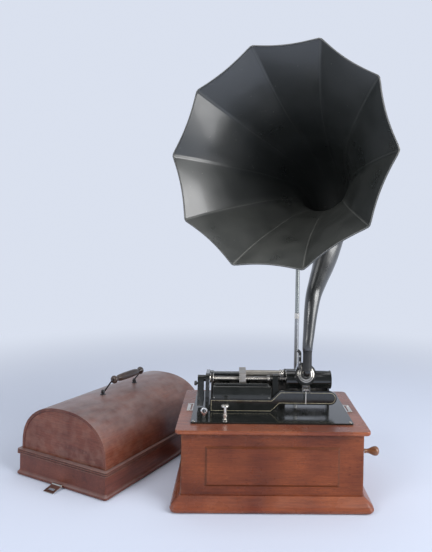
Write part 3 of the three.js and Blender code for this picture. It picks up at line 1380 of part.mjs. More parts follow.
gripProfile.push([gripHalf, gripBore], [-gripHalf, gripBore]);
const gripSpot = bailSpot(0, bail.legLength);
place(
  'bail_grip', toX(turned(gripProfile, 16)), darkMahogany(), lidGroup, 0, gripSpot.y, eyeZ + gripSpot.z,
);

// Catches hinged at the ends of the band, swung out on to the floor
const clipDrop = Math.asin((clip.hingeZ - clip.tipZ) / clip.length);
function clipSolid() {
  const plate = block(
    [clip.knuckleRadius / 2, -clip.width / 2, -clip.thickness / 2],
    [clip.length, clip.width / 2, clip.thickness / 2],
  );
  const slotFrom = clip.length - clip.slotFromTip - clip.slotHeight;
  const slot = block(
    [slotFrom, -clip.slotWidth / 2, -overrun], [slotFrom + clip.slotHeight, clip.slotWidth / 2, overrun],
  );
  const knuckle = rod(clip.knuckleRadius, -clip.width / 2, clip.width / 2, 14);
  return cut(join(plate, knuckle), slot).rotateY(clipDrop);
}
const clipX = bandHalfX + lid.step + clip.knuckleRadius + seam;
place('lid_clip_near', clipSolid().rotateZ(Math.PI), nickel(), lidGroup, -clipX, 0, clip.hingeZ);
place('lid_clip_far', clipSolid(), nickel(), lidGroup, clipX, 0, clip.hingeZ);

export default gramophone;
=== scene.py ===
# Horn phonograph for cylinders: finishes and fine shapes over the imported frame.
# Lengths in the settings are in millimetres, those inside materials and of the stage in metres.
import json
import math

import bmesh
import bpy
from mathutils import Matrix, Vector

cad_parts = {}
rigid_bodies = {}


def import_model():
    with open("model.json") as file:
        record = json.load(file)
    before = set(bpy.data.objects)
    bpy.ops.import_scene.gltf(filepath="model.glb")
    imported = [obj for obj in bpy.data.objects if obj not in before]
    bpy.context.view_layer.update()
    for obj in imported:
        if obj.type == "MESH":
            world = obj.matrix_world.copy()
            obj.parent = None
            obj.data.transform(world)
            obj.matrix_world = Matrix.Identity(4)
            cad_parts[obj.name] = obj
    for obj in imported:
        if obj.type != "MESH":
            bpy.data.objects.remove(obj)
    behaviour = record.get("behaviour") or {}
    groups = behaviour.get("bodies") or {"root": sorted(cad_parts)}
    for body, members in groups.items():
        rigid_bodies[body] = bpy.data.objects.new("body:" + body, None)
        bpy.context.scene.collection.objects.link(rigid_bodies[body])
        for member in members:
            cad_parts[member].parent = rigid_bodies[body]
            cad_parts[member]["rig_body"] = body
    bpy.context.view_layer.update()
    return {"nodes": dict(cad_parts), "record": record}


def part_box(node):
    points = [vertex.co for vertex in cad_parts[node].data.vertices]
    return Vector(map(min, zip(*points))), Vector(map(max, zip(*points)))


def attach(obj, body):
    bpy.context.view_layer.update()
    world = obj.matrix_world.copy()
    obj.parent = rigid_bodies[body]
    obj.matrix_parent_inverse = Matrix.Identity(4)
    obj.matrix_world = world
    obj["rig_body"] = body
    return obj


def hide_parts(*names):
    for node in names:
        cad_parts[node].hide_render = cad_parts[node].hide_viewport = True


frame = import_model()
nodes = frame["nodes"]
slots = {entry["node"]: entry["material_slot"] for entry in frame["record"]["subparts"]}
mm = 0.001
quarter = math.pi / 2
lidTurn = math.radians(61.5)
print("frame loaded:", len(nodes), "nodes")

# The photograph's camera: place in metres, turns in degrees, focal length and frame in pixels
view = {
    "place": (-0.094, -1.388, 0.646), "yaw": 1.05, "pitch": 1.12, "roll": 0.96,
    "focal": 550, "wide": 432, "high": 552, "principal": (245.2, 238.1), "sensor": 36, "reach": 40,
}


def setAll(thing, values):
    for key, value in values.items():
        setattr(thing, key, value)


def addObject(name, data):
    thing = bpy.data.objects.new(name, data)
    bpy.context.scene.collection.objects.link(thing)
    return thing


def placeCamera():
    data = bpy.data.cameras.new("photoCamera")
    data.sensor_fit = "HORIZONTAL"
    data.sensor_width = view["sensor"]
    data.lens = view["focal"] / view["wide"] * view["sensor"]
    data.shift_x = (view["wide"] / 2 - view["principal"][0]) / view["wide"]
    data.shift_y = (view["principal"][1] - view["high"] / 2) / view["wide"]
    data.clip_end = view["reach"]
    camera = addObject("photoCamera", data)
    camera.matrix_world = (
        Matrix.Translation(view["place"])
        @ Matrix.Rotation(-math.radians(view["yaw"]), 4, "Z")
        @ Matrix.Rotation(quarter - math.radians(view["pitch"]), 4, "X")
        @ Matrix.Rotation(math.radians(view["roll"]), 4, "Z")
    )
    bpy.context.scene.camera = camera


placeCamera()
bpy.context.scene.view_settings.view_transform = "Standard"
print("camera placed")


# Node trees

def emptyTree(owner):
    owner.use_nodes = True
    owner.node_tree.nodes.clear()
    return owner.node_tree


def addNode(tree, kind, values=None, **settings):
    node = tree.nodes.new(kind)
    setAll(node, settings)
    for key, value in (values or {}).items():
        if isinstance(value, bpy.types.NodeSocket):
            tree.links.new(value, node.inputs[key])
        else:
            node.inputs[key].default_value = value
    return node


def mathNode(tree, operation, first, second, clamp=False):
    values = {0: first, 1: second}
    return addNode(tree, "ShaderNodeMath", values, operation=operation, use_clamp=clamp).outputs[0]


def times(tree, first, second, clamp=False):
    return mathNode(tree, "MULTIPLY", first, second, clamp)


def mapRange(tree, value, fromLow, fromHigh, toLow=0, toHigh=1):
    values = {0: value, 1: fromLow, 2: fromHigh, 3: toLow, 4: toHigh}
    return addNode(tree, "ShaderNodeMapRange", values).outputs[0]


def mixColour(tree, share, first, second):
    values = {0: share, 6: first, 7: second}
    return addNode(tree, "ShaderNodeMix", values, data_type="RGBA").outputs[2]


# Coats over a colour, one after the other: a mask, how strongly it shows, and the coat's colour
def layered(tree, colour, *coats):
    for mask, share, coat in coats:
        colour = mixColour(tree, times(tree, mask, share), colour, coat)
    return colour


def noise(tree, vector, scale, detail, more=None):
    values = {"Vector": vector, "Scale": scale, "Detail": detail, **(more or {})}
    return addNode(tree, "ShaderNodeTexNoise", values).outputs["Fac"]


# A pattern is drawn out along X by squeezing the other two
def drawnOut(tree, vector, share):
    values = {0: vector, 1: (1, share, share)}
    return addNode(tree, "ShaderNodeVectorMath", values, operation="MULTIPLY").outputs[0]


# A group takes a vector and some numbers, with their usual values, and gives masks
def newGroup(name, numbers, masks):
    group = bpy.data.node_groups.new(name, "ShaderNodeTree")
    make = group.interface.new_socket
    make(name="Vector", in_out="INPUT", socket_type="NodeSocketVector")
    for number, value in numbers.items():
        make(name=number, in_out="INPUT", socket_type="NodeSocketFloat").default_value = value
    for mask in masks:
        make(name=mask, in_out="OUTPUT", socket_type="NodeSocketFloat")
    start = group.nodes.new("NodeGroupInput")
    end = group.nodes.new("NodeGroupOutput")
    return group, start.outputs, end.inputs


def placeGroup(tree, group, place, numbers):
    return addNode(tree, "ShaderNodeGroup", {"Vector": place, **numbers}, node_tree=group).outputs


# Grain along the X of its vector: bands, fine pores, slow changes of tone and dark streaks
woodGrain = {
    "bandStretch": 9, "poreStretch": 13, "streakStretch": 15, "streakScale": 22,
    "Bands": (0.3, 0.72), "Pores": (0.56, 0.7), "Tone": (0.3, 0.7), "Streaks": (0.4, 0.64),
}


def buildWoodFigure():
    masks = ("Bands", "Pores", "Tone", "Streaks")
    group, start, end = newGroup("woodFigure", {"Bands": 9, "Pores": 110}, masks)
    place = start["Vector"]
    wide = drawnOut(group, place, woodGrain["bandStretch"])
    thin = drawnOut(group, place, woodGrain["poreStretch"])
    long = drawnOut(group, place, woodGrain["streakStretch"])
    fields = (
        noise(group, wide, start["Bands"], 5, {"Roughness": 0.62, "Distortion": 0.6}),
        noise(group, thin, start["Pores"], 2),
        noise(group, place, start["Bands"], 1),
        noise(group, long, woodGrain["streakScale"], 3, {"Distortion": 0.35}),
    )
    for mask, field in zip(masks, fields):
        group.links.new(mapRange(group, field, *woodGrain[mask]), end[mask])
    return group


# Scuffs, smudges and specks that any hard finish picks up
marking = {
    "turn": (0.5, 0.9, 0.3), "stretch": (1, 14, 5), "smudgeScale": 0.5, "speckScale": 5,
    "scratches": (0.66, 0.78), "smudges": (0.35, 0.68), "rareCells": (0.86, 0.9),
    "dots": (0.11, 0.06),
}


def buildHandling():
    group, start, end = newGroup("handling", {"Scale": 30}, ("Scratches", "Smudges", "Specks"))
    place, scale = start["Vector"], start["Scale"]
    slant = {"Vector": place, "Rotation": marking["turn"], "Scale": marking["stretch"]}
    slanted = addNode(group, "ShaderNodeMapping", slant).outputs[0]
    scratches = noise(group, slanted, scale, 3, {"Roughness": 0.7})
    smudges = noise(group, place, times(group, scale, marking["smudgeScale"]), 4)
    cells = {"Vector": place, "Scale": times(group, scale, marking["speckScale"])}
    spots = addNode(group, "ShaderNodeTexVoronoi", cells).outputs
    kind = addNode(group, "ShaderNodeSeparateXYZ", {0: spots["Color"]}).outputs["X"]
    rare = mapRange(group, kind, *marking["rareCells"])
    dots = mapRange(group, spots["Distance"], *marking["dots"])
    group.links.new(mapRange(group, scratches, *marking["scratches"]), end["Scratches"])
    group.links.new(mapRange(group, smudges, *marking["smudges"]), end["Smudges"])
    group.links.new(times(group, dots, rare), end["Specks"])
    return group


# Rubbed edges, from how sharply the surface turns
rubbing = {"full": 0.62, "patches": (0.42, 0.62)}


def buildRubbedEdge():
    group, start, end = newGroup("rubbedEdge", {"Scale": 60, "Low": 0.52}, ("Mask",))
    sharp = addNode(group, "ShaderNodeNewGeometry").outputs["Pointiness"]
    uneven = noise(group, start["Vector"], start["Scale"], 4)
    edge = mapRange(group, sharp, start["Low"], rubbing["full"])
    patchy = mapRange(group, uneven, *rubbing["patches"])
    group.links.new(times(group, edge, patchy, True), end["Mask"])
    return group


# Painted shade in inner corners, laid where occlusion is found, and on what faces up a pale coat,
# partly dust and partly painted sheen of the light from above
shadeSheenAndDustRanges = {"patches": (0.3, 0.6, 0.55, 1), "corners": (0.92, 0.55), "upwardSheen": (0.15, 0.95)}


def buildShadeSheenAndDust():
    group, start, end = newGroup("shadeSheenAndDust", {"Reach": 0.004, "Scale": 40}, ("CornerShade", "DustAndSheen"))
    reach = {"Distance": start["Reach"]}
    around = addNode(group, "ShaderNodeAmbientOcclusion", reach, samples=8, only_local=True)
    uneven = noise(group, start["Vector"], start["Scale"], 4)
    patchy = mapRange(group, uneven, *shadeSheenAndDustRanges["patches"])
    # Painted shade: the occlusion found within reach darkens the inner corners
    corner = mapRange(group, around.outputs["AO"], *shadeSheenAndDustRanges["corners"])
    normal = addNode(group, "ShaderNodeNewGeometry").outputs["Normal"]
    facing = addNode(group, "ShaderNodeSeparateXYZ", {0: normal}).outputs["Z"]
    # Dust and painted sheen: faces turned up get a pale coat, as lit from above
    upwardSheen = mapRange(group, facing, *shadeSheenAndDustRanges["upwardSheen"])
    group.links.new(times(group, corner, patchy, True), end["CornerShade"])
    group.links.new(times(group, upwardSheen, patchy, True), end["DustAndSheen"])
    return group


woodFigure = buildWoodFigure()
handling = buildHandling()
rubbedEdge = buildRubbedEdge()
shadeSheenAndDust = buildShadeSheenAndDust()


# A new material: its tree and shader, the place on the object, and the marks of handling
def startMaterial(name, markScale, turn=0):
    material = bpy.data.materials.new(name)
    tree = emptyTree(material)
    output = addNode(tree, "ShaderNodeOutputMaterial")
    shader = addNode(tree, "ShaderNodeBsdfPrincipled")
    tree.links.new(shader.outputs["BSDF"], output.inputs["Surface"])
    place = addNode(tree, "ShaderNodeTexCoord").outputs["Object"]
    if turn:
        turned = {"Vector": place, "Rotation": (0, 0, turn)}
        place = addNode(tree, "ShaderNodeMapping", turned).outputs[0]
    marks = placeGroup(tree, handling, place, {"Scale": markScale})
    return material, tree, shader, place, marks


# Roughness runs between two values by a mask; relief is a bump's distance and strength
def setSurface(tree, shader, colour, dull, rough, height, relief):
    distance, strength = relief
    values = {"Height": height, "Distance": distance, "Strength": strength}
    bump = addNode(tree, "ShaderNodeBump", values)
    tree.links.new(colour, shader.inputs["Base Color"])
    tree.links.new(mapRange(tree, dull, 0, 1, *rough), shader.inputs["Roughness"])
    tree.links.new(bump.outputs[0], shader.inputs["Normal"])


def setCoat(shader, gloss, coat, coatRough):
    shader.inputs["Specular IOR Level"].default_value = gloss
    shader.inputs["Coat Weight"].default_value = coat
    shader.inputs["Coat Roughness"].default_value = coatRough


# Wood: grain turned to run along the board
# The last share in each wood is for dust and painted sheen on faces turned up
woodTones = {
    "mahogany": {
        "dark": (0.085, 0.014, 0.006, 1), "mid": (0.225, 0.048, 0.018, 1),
        "light": (0.4, 0.118, 0.044, 1), "worn": (0.5, 0.24, 0.11, 1),
        "rough": (0.22, 0.38), "coat": 0.25, "gloss": 0.4, "streaks": 0.3, "sheenDustShare": 0.1,
    },
    # The front board is the mahogany made darker: painted shade of the shadow cast by the lip
    "frontBoardPaintedShade": {
        "dark": (0.042, 0.007, 0.003, 1), "mid": (0.14, 0.027, 0.01, 1),
        "light": (0.285, 0.073, 0.023, 1), "worn": (0.42, 0.17, 0.07, 1),
        "rough": (0.24, 0.4), "coat": 0.12, "gloss": 0.3, "streaks": 0.3, "sheenDustShare": 0,
    },
    "frontOutline": {
        "dark": (0.045, 0.009, 0.003, 1), "mid": (0.11, 0.024, 0.008, 1),
        "light": (0.2, 0.055, 0.016, 1), "worn": (0.2, 0.08, 0.035, 1),
        "rough": (0.3, 0.5), "coat": 0.1, "gloss": 0.3, "streaks": 0.3, "sheenDustShare": 0,
    },
    "lidWood": {
        "dark": (0.05, 0.009, 0.006, 1), "mid": (0.145, 0.034, 0.018, 1),
        "light": (0.27, 0.085, 0.048, 1), "worn": (0.42, 0.26, 0.19, 1),
        "rough": (0.3, 0.48), "coat": 0.15, "gloss": 0.35, "streaks": 0.35, "sheenDustShare": 0.45,
    },
    "darkTurned": {
        "dark": (0.012, 0.008, 0.007, 1), "mid": (0.03, 0.017, 0.013, 1),
        "light": (0.07, 0.038, 0.026, 1), "worn": (0.16, 0.09, 0.06, 1),
        "rough": (0.22, 0.42), "coat": 0.4, "gloss": 0.5, "streaks": 0.4, "sheenDustShare": 0.1,
    },
    "knobWood": {
        "dark": (0.07, 0.022, 0.009, 1), "mid": (0.21, 0.075, 0.028, 1),
        "light": (0.38, 0.17, 0.07, 1), "worn": (0.5, 0.3, 0.17, 1),
        "rough": (0.24, 0.4), "coat": 0.4, "gloss": 0.5, "streaks": 0.4, "sheenDustShare": 0,
    },
}
# The corners' share and near black colour are painted shade in inner corners; the pale colour on
# what faces up is dust and painted sheen
woodFinish = {
    "marks": 26, "figure": {"Bands": 9, "Pores": 110}, "edge": {"Scale": 50, "Low": 0.53},
    "cornerShadeAndDust": {"Reach": 0.006, "Scale": 35}, "tone": 0.75, "pores": 0.7, "scratches": 0.25,
    "rubbed": 0.55, "corners": 0.85, "sheenDustColour": (0.36, 0.31, 0.31, 1),
    "cornerShadeColour": (0.012, 0.005, 0.004, 1), "coatRough": 0.12, "scratchDepth": 0.6,
    "relief": (-0.00008, 0.6),
}


def woodMaterial(name, wood, turn=0):
    material, tree, shader, place, marks = startMaterial(name, woodFinish["marks"], turn)
    figure = placeGroup(tree, woodFigure, place, woodFinish["figure"])
    edge = placeGroup(tree, rubbedEdge, place, woodFinish["edge"])["Mask"]
    cornerShadeAndDust = placeGroup(tree, shadeSheenAndDust, place, woodFinish["cornerShadeAndDust"])
    colour = layered(
        tree,
        mixColour(tree, figure["Bands"], wood["dark"], wood["mid"]),
        (figure["Tone"], woodFinish["tone"], wood["light"]),
        (figure["Streaks"], wood["streaks"], wood["dark"]),
        (figure["Pores"], woodFinish["pores"], wood["dark"]),
        (marks["Scratches"], woodFinish["scratches"], wood["worn"]),
        (edge, woodFinish["rubbed"], wood["worn"]),
        # dust and painted sheen on faces turned up
        (cornerShadeAndDust["DustAndSheen"], wood["sheenDustShare"], woodFinish["sheenDustColour"]),
        # painted shade in the inner corners
        (cornerShadeAndDust["CornerShade"], woodFinish["corners"], woodFinish["cornerShadeColour"]),
    )
    scratched = times(tree, marks["Scratches"], woodFinish["scratchDepth"])
    height = mathNode(tree, "ADD", figure["Pores"], scratched)
    setSurface(tree, shader, colour, marks["Smudges"], wood["rough"], height, woodFinish["relief"])
    setCoat(shader, wood["gloss"], wood["coat"], woodFinish["coatRough"])
    return material


mahoganyX = woodMaterial("mahoganyAlongX", woodTones["mahogany"])
# The front board's wood, darkened as painted shade under the lip
frontBoardPaintedShade = woodMaterial("frontBoardPaintedShade", woodTones["frontBoardPaintedShade"])
frontOutline = woodMaterial("frontOutline", woodTones["frontOutline"])
mahoganyY = woodMaterial("mahoganyAlongY", woodTones["mahogany"], -quarter)
lidLong = woodMaterial("lidWoodLong", woodTones["lidWood"], -lidTurn)
lidAcross = woodMaterial("lidWoodAcross", woodTones["lidWood"], quarter - lidTurn)
turnedWood = woodMaterial("darkTurnedWood", woodTones["darkTurned"], -lidTurn)
knobWood = woodMaterial("knobWood", woodTones["knobWood"])

# Black stoved enamel on castings, and the satin black of the horn
# Each enamel's dust colour and share are for dust and painted sheen on faces turned up
enamels = {
    "blackEnamel": {
        "base": (0.008, 0.0092, 0.008, 1), "chip": (0.2, 0.185, 0.17, 1),
        "sheenDust": (0.06, 0.06, 0.058, 1), "rough": (0.1, 0.22), "scale": 60,
        "coat": 0.5, "gloss": 0.5, "sheenDustShare": 0.1, "specks": 0.5,
    },
    "hornBlack": {
        "base": (0.02, 0.0225, 0.0215, 1), "chip": (0.36, 0.36, 0.33, 1),
        "sheenDust": (0.12, 0.123, 0.112, 1), "rough": (0.27, 0.42), "scale": 19,
        "coat": 0.2, "gloss": 1, "sheenDustShare": 0.6, "specks": 0.6,
    },
    "hornSeam": {
        "base": (0.05, 0.052, 0.048, 1), "chip": (0.4, 0.4, 0.37, 1),
        "sheenDust": (0.26, 0.26, 0.24, 1), "rough": (0.3, 0.45), "scale": 19,
        "coat": 0.1, "gloss": 0.85, "sheenDustShare": 0.8, "specks": 0.5,
    },
    "neckBlack": {
        "base": (0.013, 0.014, 0.014, 1), "chip": (0.3, 0.3, 0.28, 1),
        "sheenDust": (0.07, 0.07, 0.066, 1), "rough": (0.22, 0.36), "scale": 30,
        "coat": 0.35, "gloss": 1, "sheenDustShare": 0.3, "specks": 0.5,
    },
}
enamelFinish = {
    "edgeLow": 0.55, "cornerShadeReach": 0.004, "bloom": 0.012, "smudges": 0.7, "scratches": 0.22,
    "rubbed": 0.5, "coatRough": 0.1, "relief": (0.00006, 0.5),
}


def enamelMaterial(name, enamel):
    scale = enamel["scale"]
    material, tree, shader, place, marks = startMaterial(name, scale)
    rubbed = {"Scale": scale, "Low": enamelFinish["edgeLow"]}
    edge = placeGroup(tree, rubbedEdge, place, rubbed)["Mask"]
    cornerShadeAndDust = {"Reach": enamelFinish["cornerShadeReach"], "Scale": scale}
    sheenDust = placeGroup(tree, shadeSheenAndDust, place, cornerShadeAndDust)["DustAndSheen"]
    bloom = tuple(enamelFinish["bloom"] + channel for channel in enamel["base"][:3]) + (1,)
    colour = layered(
        tree,
        enamel["base"],
        (marks["Smudges"], enamelFinish["smudges"], bloom),
        (marks["Scratches"], enamelFinish["scratches"], enamel["chip"]),
        (marks["Specks"], enamel["specks"], enamel["chip"]),
        # dust and painted sheen on faces turned up
        (sheenDust, enamel["sheenDustShare"], enamel["sheenDust"]),
        (edge, enamelFinish["rubbed"], enamel["chip"]),
    )
    height = mathNode(tree, "ADD", marks["Smudges"], marks["Scratches"])
    rough, relief = enamel["rough"], enamelFinish["relief"]
    setSurface(tree, shader, colour, marks["Smudges"], rough, height, relief)
    setCoat(shader, enamel["gloss"], enamel["coat"], enamelFinish["coatRough"])
    return material


blackEnamel = enamelMaterial("blackEnamel", enamels["blackEnamel"])
hornBlack = enamelMaterial("hornBlack", enamels["hornBlack"])
hornSeam = enamelMaterial("hornSeam", enamels["hornSeam"])
neckBlack = enamelMaterial("neckBlack", enamels["neckBlack"])

# Plated and bare metals: bright tone, tarnish, roughness, scale of the marks and brushing
metalTones = {
    "nickel": ((0.74, 0.71, 0.66, 1), (0.42, 0.38, 0.31, 1), (0.1, 0.28), 70, 0),
    "steel": ((0.4, 0.41, 0.42, 1), (0.2, 0.19, 0.18, 1), (0.26, 0.5), 60, 0.5),
    "agedNickel": ((0.34, 0.36, 0.35, 1), (0.25, 0.26, 0.24, 1), (0.22, 0.42), 40, 0.2),
    "darkWire": ((0.14, 0.14, 0.145, 1), (0.05, 0.045, 0.04, 1), (0.3, 0.5), 90, 0),
    "brass": ((0.62, 0.45, 0.2, 1), (0.27, 0.19, 0.09, 1), (0.22, 0.42), 60, 0.3),
    "wornNickel": ((0.5, 0.47, 0.42, 1), (0.24, 0.21, 0.18, 1), (0.3, 0.5), 50, 0.3),
    "dullRod": ((0.26, 0.27, 0.28, 1), (0.1, 0.1, 0.1, 1), (0.2, 0.36), 50, 0.3),
}
metalFinish = {
    "edgeLow": 0.54, "smudges": 0.45, "specks": 0.35, "rubbed": 0.3, "relief": (0.00003, 0.4),
}


def metalMaterial(name, bright, tarnish, rough, scale, brushing):
    material, tree, shader, place, marks = startMaterial(name, scale)
    rubbed = {"Scale": scale, "Low": metalFinish["edgeLow"]}
    edge = placeGroup(tree, rubbedEdge, place, rubbed)["Mask"]
    smudged = times(tree, marks["Smudges"], metalFinish["smudges"])
    specked = times(tree, marks["Specks"], metalFinish["specks"])
    stain = mathNode(tree, "ADD", smudged, specked, True)
    colour = layered(
        tree,
        mixColour(tree, stain, bright, tarnish),
        (edge, metalFinish["rubbed"], bright),
    )
    brushed = times(tree, marks["Scratches"], brushing)
    dull = mathNode(tree, "ADD", marks["Smudges"], brushed, True)
    height = mathNode(tree, "ADD", marks["Scratches"], marks["Smudges"])
    setSurface(tree, shader, colour, dull, rough, height, metalFinish["relief"])
    shader.inputs["Metallic"].default_value = 1
    return material


metals = {name: metalMaterial(name, *tones) for name, tones in metalTones.items()}

# Smaller finishes: two tones, and a coat's share and colour over them
smallFinishes = {
    "goldStripe": {
        "marks": 140, "tones": ((0.72, 0.66, 0.48, 1), (0.5, 0.43, 0.27, 1)),
        "over": (0.8, (0.03, 0.028, 0.024, 1)), "rough": (0.35, 0.5), "relief": (0.00002, 0.4),
    },
    "feedThread": {
        # the dark tone is painted shade in the thread's grooves
        "marks": 60, "tones": ((0.1, 0.09, 0.08, 1), (0.62, 0.6, 0.56, 1)), "grooves": 220,
        "over": (0.4, (0.16, 0.13, 0.1, 1)), "rough": (0.2, 0.4), "relief": (0.0004, 0.8),
    },
    "blackRubber": {
        "marks": 90, "tones": ((0.008, 0.008, 0.0085, 1), (0.022, 0.0215, 0.021, 1)),
        "rough": (0.42, 0.62), "relief": (0.0001, 0.5),
    },
    "beltLeather": {
        "marks": 90, "tones": ((0.012, 0.009, 0.008, 1), (0.035, 0.026, 0.02, 1)), "cells": 900,
        "over": (0.5, (0.11, 0.085, 0.06, 1)), "rough": (0.55, 0.8), "relief": (0.0002, 0.6),
    },
}


# Gold stripe painted on the enamel, thin and broken in places
def stripeMaterial(name, finish):
    material, tree, shader, place, marks = startMaterial(name, finish["marks"])
    colour = mixColour(tree, marks["Smudges"], *finish["tones"])
    colour = layered(tree, colour, (marks["Scratches"], *finish["over"]))
    setSurface(
        tree, shader, colour, marks["Smudges"], finish["rough"], marks["Specks"], finish["relief"]
    )
    return material


# The feed screw's thread: fine grooves across X, painted dark as painted shade in the grooves, with
# a bump of the same pattern
def threadMaterial(name, finish):
    material, tree, shader, place, marks = startMaterial(name, finish["marks"])
    wave = {"Vector": place, "Scale": finish["grooves"]}
    grooveShadeAndBump = addNode(tree, "ShaderNodeTexWave", wave, bands_direction="X").outputs["Fac"]
    colour = mixColour(tree, grooveShadeAndBump, *finish["tones"])
    colour = layered(tree, colour, (marks["Smudges"], *finish["over"]))
    setSurface(tree, shader, colour, marks["Smudges"], finish["rough"], grooveShadeAndBump, finish["relief"])
    shader.inputs["Metallic"].default_value = 1
    return material


def rubberMaterial(name, finish):
    material, tree, shader, place, marks = startMaterial(name, finish["marks"])
    colour = mixColour(tree, marks["Smudges"], *finish["tones"])
    height = mathNode(tree, "ADD", marks["Smudges"], marks["Specks"])
    setSurface(tree, shader, colour, marks["Smudges"], finish["rough"], height, finish["relief"])
    return material


def leatherMaterial(name, finish):
    material, tree, shader, place, marks = startMaterial(name, finish["marks"])
    cells = addNode(tree, "ShaderNodeTexVoronoi", {"Vector": place, "Scale": finish["cells"]})
    colour = mixColour(tree, marks["Smudges"], *finish["tones"])
    colour = layered(tree, colour, (marks["Scratches"], *finish["over"]))
    grain = cells.outputs["Distance"]
    setSurface(tree, shader, colour, marks["Smudges"], finish["rough"], grain, finish["relief"])
    return material


goldStripe = stripeMaterial("goldStripe", smallFinishes["goldStripe"])
threadSteel = threadMaterial("feedThread", smallFinishes["feedThread"])
blackRubber = rubberMaterial("blackRubber", smallFinishes["blackRubber"])
beltLeather = leatherMaterial("beltLeather", smallFinishes["beltLeather"])
print("materials made")


# Modelling

def onlySelect(thing):
    bpy.ops.object.select_all(action="DESELECT")
    thing.select_set(True)
    bpy.context.view_layer.objects.active = thing


# Edit mode with all of one piece's mesh selected, and back again
def editAll(piece):
    onlySelect(piece)
    bpy.ops.object.mode_set(mode="EDIT")
    bpy.ops.mesh.select_all(action="SELECT")


def doneEditing():
    bpy.ops.object.mode_set(mode="OBJECT")


def applyModifier(piece, name, kind, **settings):
    setAll(piece.modifiers.new(name, kind), settings)
    onlySelect(piece)
    bpy.ops.object.modifier_apply(modifier=name)


def applyPlace(piece):
    onlySelect(piece)
    bpy.ops.object.transform_apply(location=True, rotation=True, scale=True)


def giveMaterial(thing, material):
    thing.data.materials.clear()
    thing.data.materials.append(material)


def finishPiece(piece, material, body, replaces=(), smooth=35):
    piece.data.name = piece.name
    applyPlace(piece)
    bpy.ops.object.shade_smooth_by_angle(angle=math.radians(smooth))
    if material is not None:
        giveMaterial(piece, material)
    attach(piece, body)
    if replaces:
        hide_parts(*replaces)


# How edges are eased: steps over an edge, the least turn that is one, the most that shades smooth
easing = {
    "plate": (2, 32, 35), "cast": (3, 32, 35), "board": (2, 20, 38), "lid": (2, 22, 40),
    "belt": (1, 50, 60), "ring": (2, 50, 60), "tube": (2, 60, 60), "wire": (1, 60, 60),
}
merging = {"near": 0.02, "flat": 0.5}
roundSmooth = 50


# A CAD node's own shape with its edges broken, which then stands for the node
def easedCopy(nodeName, material, width, style, before=None):
    source = nodes[nodeName]
    piece = addObject(nodeName + "Eased", source.data.copy())
    editAll(piece)
    bpy.ops.mesh.remove_doubles(threshold=merging["near"] * mm)
    bpy.ops.mesh.dissolve_limited(angle_limit=math.radians(merging["flat"]))
    doneEditing()
    giveMaterial(piece, material)
    if before:
        before(piece)
    steps, edge, smooth = easing[style]
    applyModifier(
        piece, "easedEdges", "BEVEL",
        width=width * mm, segments=steps, limit_method="ANGLE", angle_limit=math.radians(edge),
    )
    body, slot = source["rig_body"], slots[nodeName]
    finishPiece(piece, None, body, [nodeName], smooth)
    applyModifier(piece, "flatFaces", "WEIGHTED_NORMAL", keep_sharp=True)


def axisTurn(axis):
    return Vector((0, 0, 1)).rotation_difference(Vector(axis)).to_matrix().to_4x4()


# A turned piece: a filled circle drawn out and drawn in, step by step, as (along, radius)
def turnPiece(name, centre, axis, steps, sides=48, hollow=False):
    lastAlong, lastRadius = steps[0]
    bpy.ops.object.select_all(action="DESELECT")
    bpy.ops.mesh.primitive_circle_add(
        vertices=sides,
        radius=lastRadius * mm,
        fill_type="NOTHING" if hollow else "NGON",
        location=(0, 0, lastAlong * mm),
    )
    piece = bpy.context.object
    applyPlace(piece)
    editAll(piece)
    for along, radius in steps[1:]:
        outwards = {"value": (0, 0, (along - lastAlong) * mm)}
        bpy.ops.mesh.extrude_region_move(TRANSFORM_OT_translate=outwards)
        if radius != lastRadius:
            share = radius / lastRadius
            bpy.ops.transform.resize(value=(share, share, 1), center_override=(0, 0, along * mm))
        lastAlong, lastRadius = along, radius
    bpy.ops.mesh.select_all(action="SELECT")
    if hollow:
        bpy.ops.mesh.remove_doubles(threshold=0.005 * mm)
    bpy.ops.mesh.normals_make_consistent(inside=False)
    doneEditing()
    piece.name = name
    piece.matrix_world = Matrix.Translation(centre) @ axisTurn(axis)
    applyPlace(piece)
    return piece


# A turned piece in a CAD node's place, from its left end or, if upright, from its foot
def replaceTurned(nodeName, material, steps, sides=48, hollow=False, upright=False):
    low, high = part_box(nodeName)
    centre = (low + high) / 2
    start, axis = Vector((low.x, centre.y, centre.z)), (1, 0, 0)
    if upright:
        start, axis = Vector((centre.x, centre.y, low.z)), (0, 0, 1)
    piece = turnPiece(nodeName + "Turned", start, axis, steps, sides, hollow)
    finishPiece(piece, material, nodes[nodeName]["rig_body"], [nodeName])


wireRoundness = {"section": 5, "bendSteps": 10}


# A bent wire or rod along points, closed at its ends
def bendWire(name, points, radius, closed=False):
    curve = bpy.data.curves.new(name, "CURVE")
    curve.dimensions = "3D"
    curve.bevel_depth = radius * mm
    curve.bevel_resolution = wireRoundness["section"]
    curve.use_fill_caps = True
    spline = curve.splines.new("POLY")
    spline.points.add(len(points) - 1)
    for spot, point in zip(spline.points, points):
        spot.co = (*point, 1)
    spline.use_cyclic_u = closed
    onlySelect(addObject(name, curve))
    bpy.ops.object.convert(target="MESH")
    return bpy.context.object


# Straight runs between corners, each inner corner rounded from its bend's distance before it
def roundedRoute(corners, bends):
    corners = [Vector(corner) for corner in corners]
    route = [corners[0]]
    for before, corner, after, bend in zip(corners, corners[1:], corners[2:], bends):
        start = corner + (before - corner).normalized() * bend
        end = corner + (after - corner).normalized() * bend
        for i in range(wireRoundness["bendSteps"] + 1):
            t = i / wireRoundness["bendSteps"]
            route.append(start.lerp(corner, t).lerp(corner.lerp(end, t), t))
    route.append(corners[-1])
    return [point * mm for point in route]


# A slotted head: its profile in shares of height and radius, its slot's length, width and depth
screwForm = {
    "profile": ((0, 1), (0.55, 1), (0.9, 0.86), (1, 0.62)), "slot": (2.4, 0.3, 0.9), "sides": 24,
}


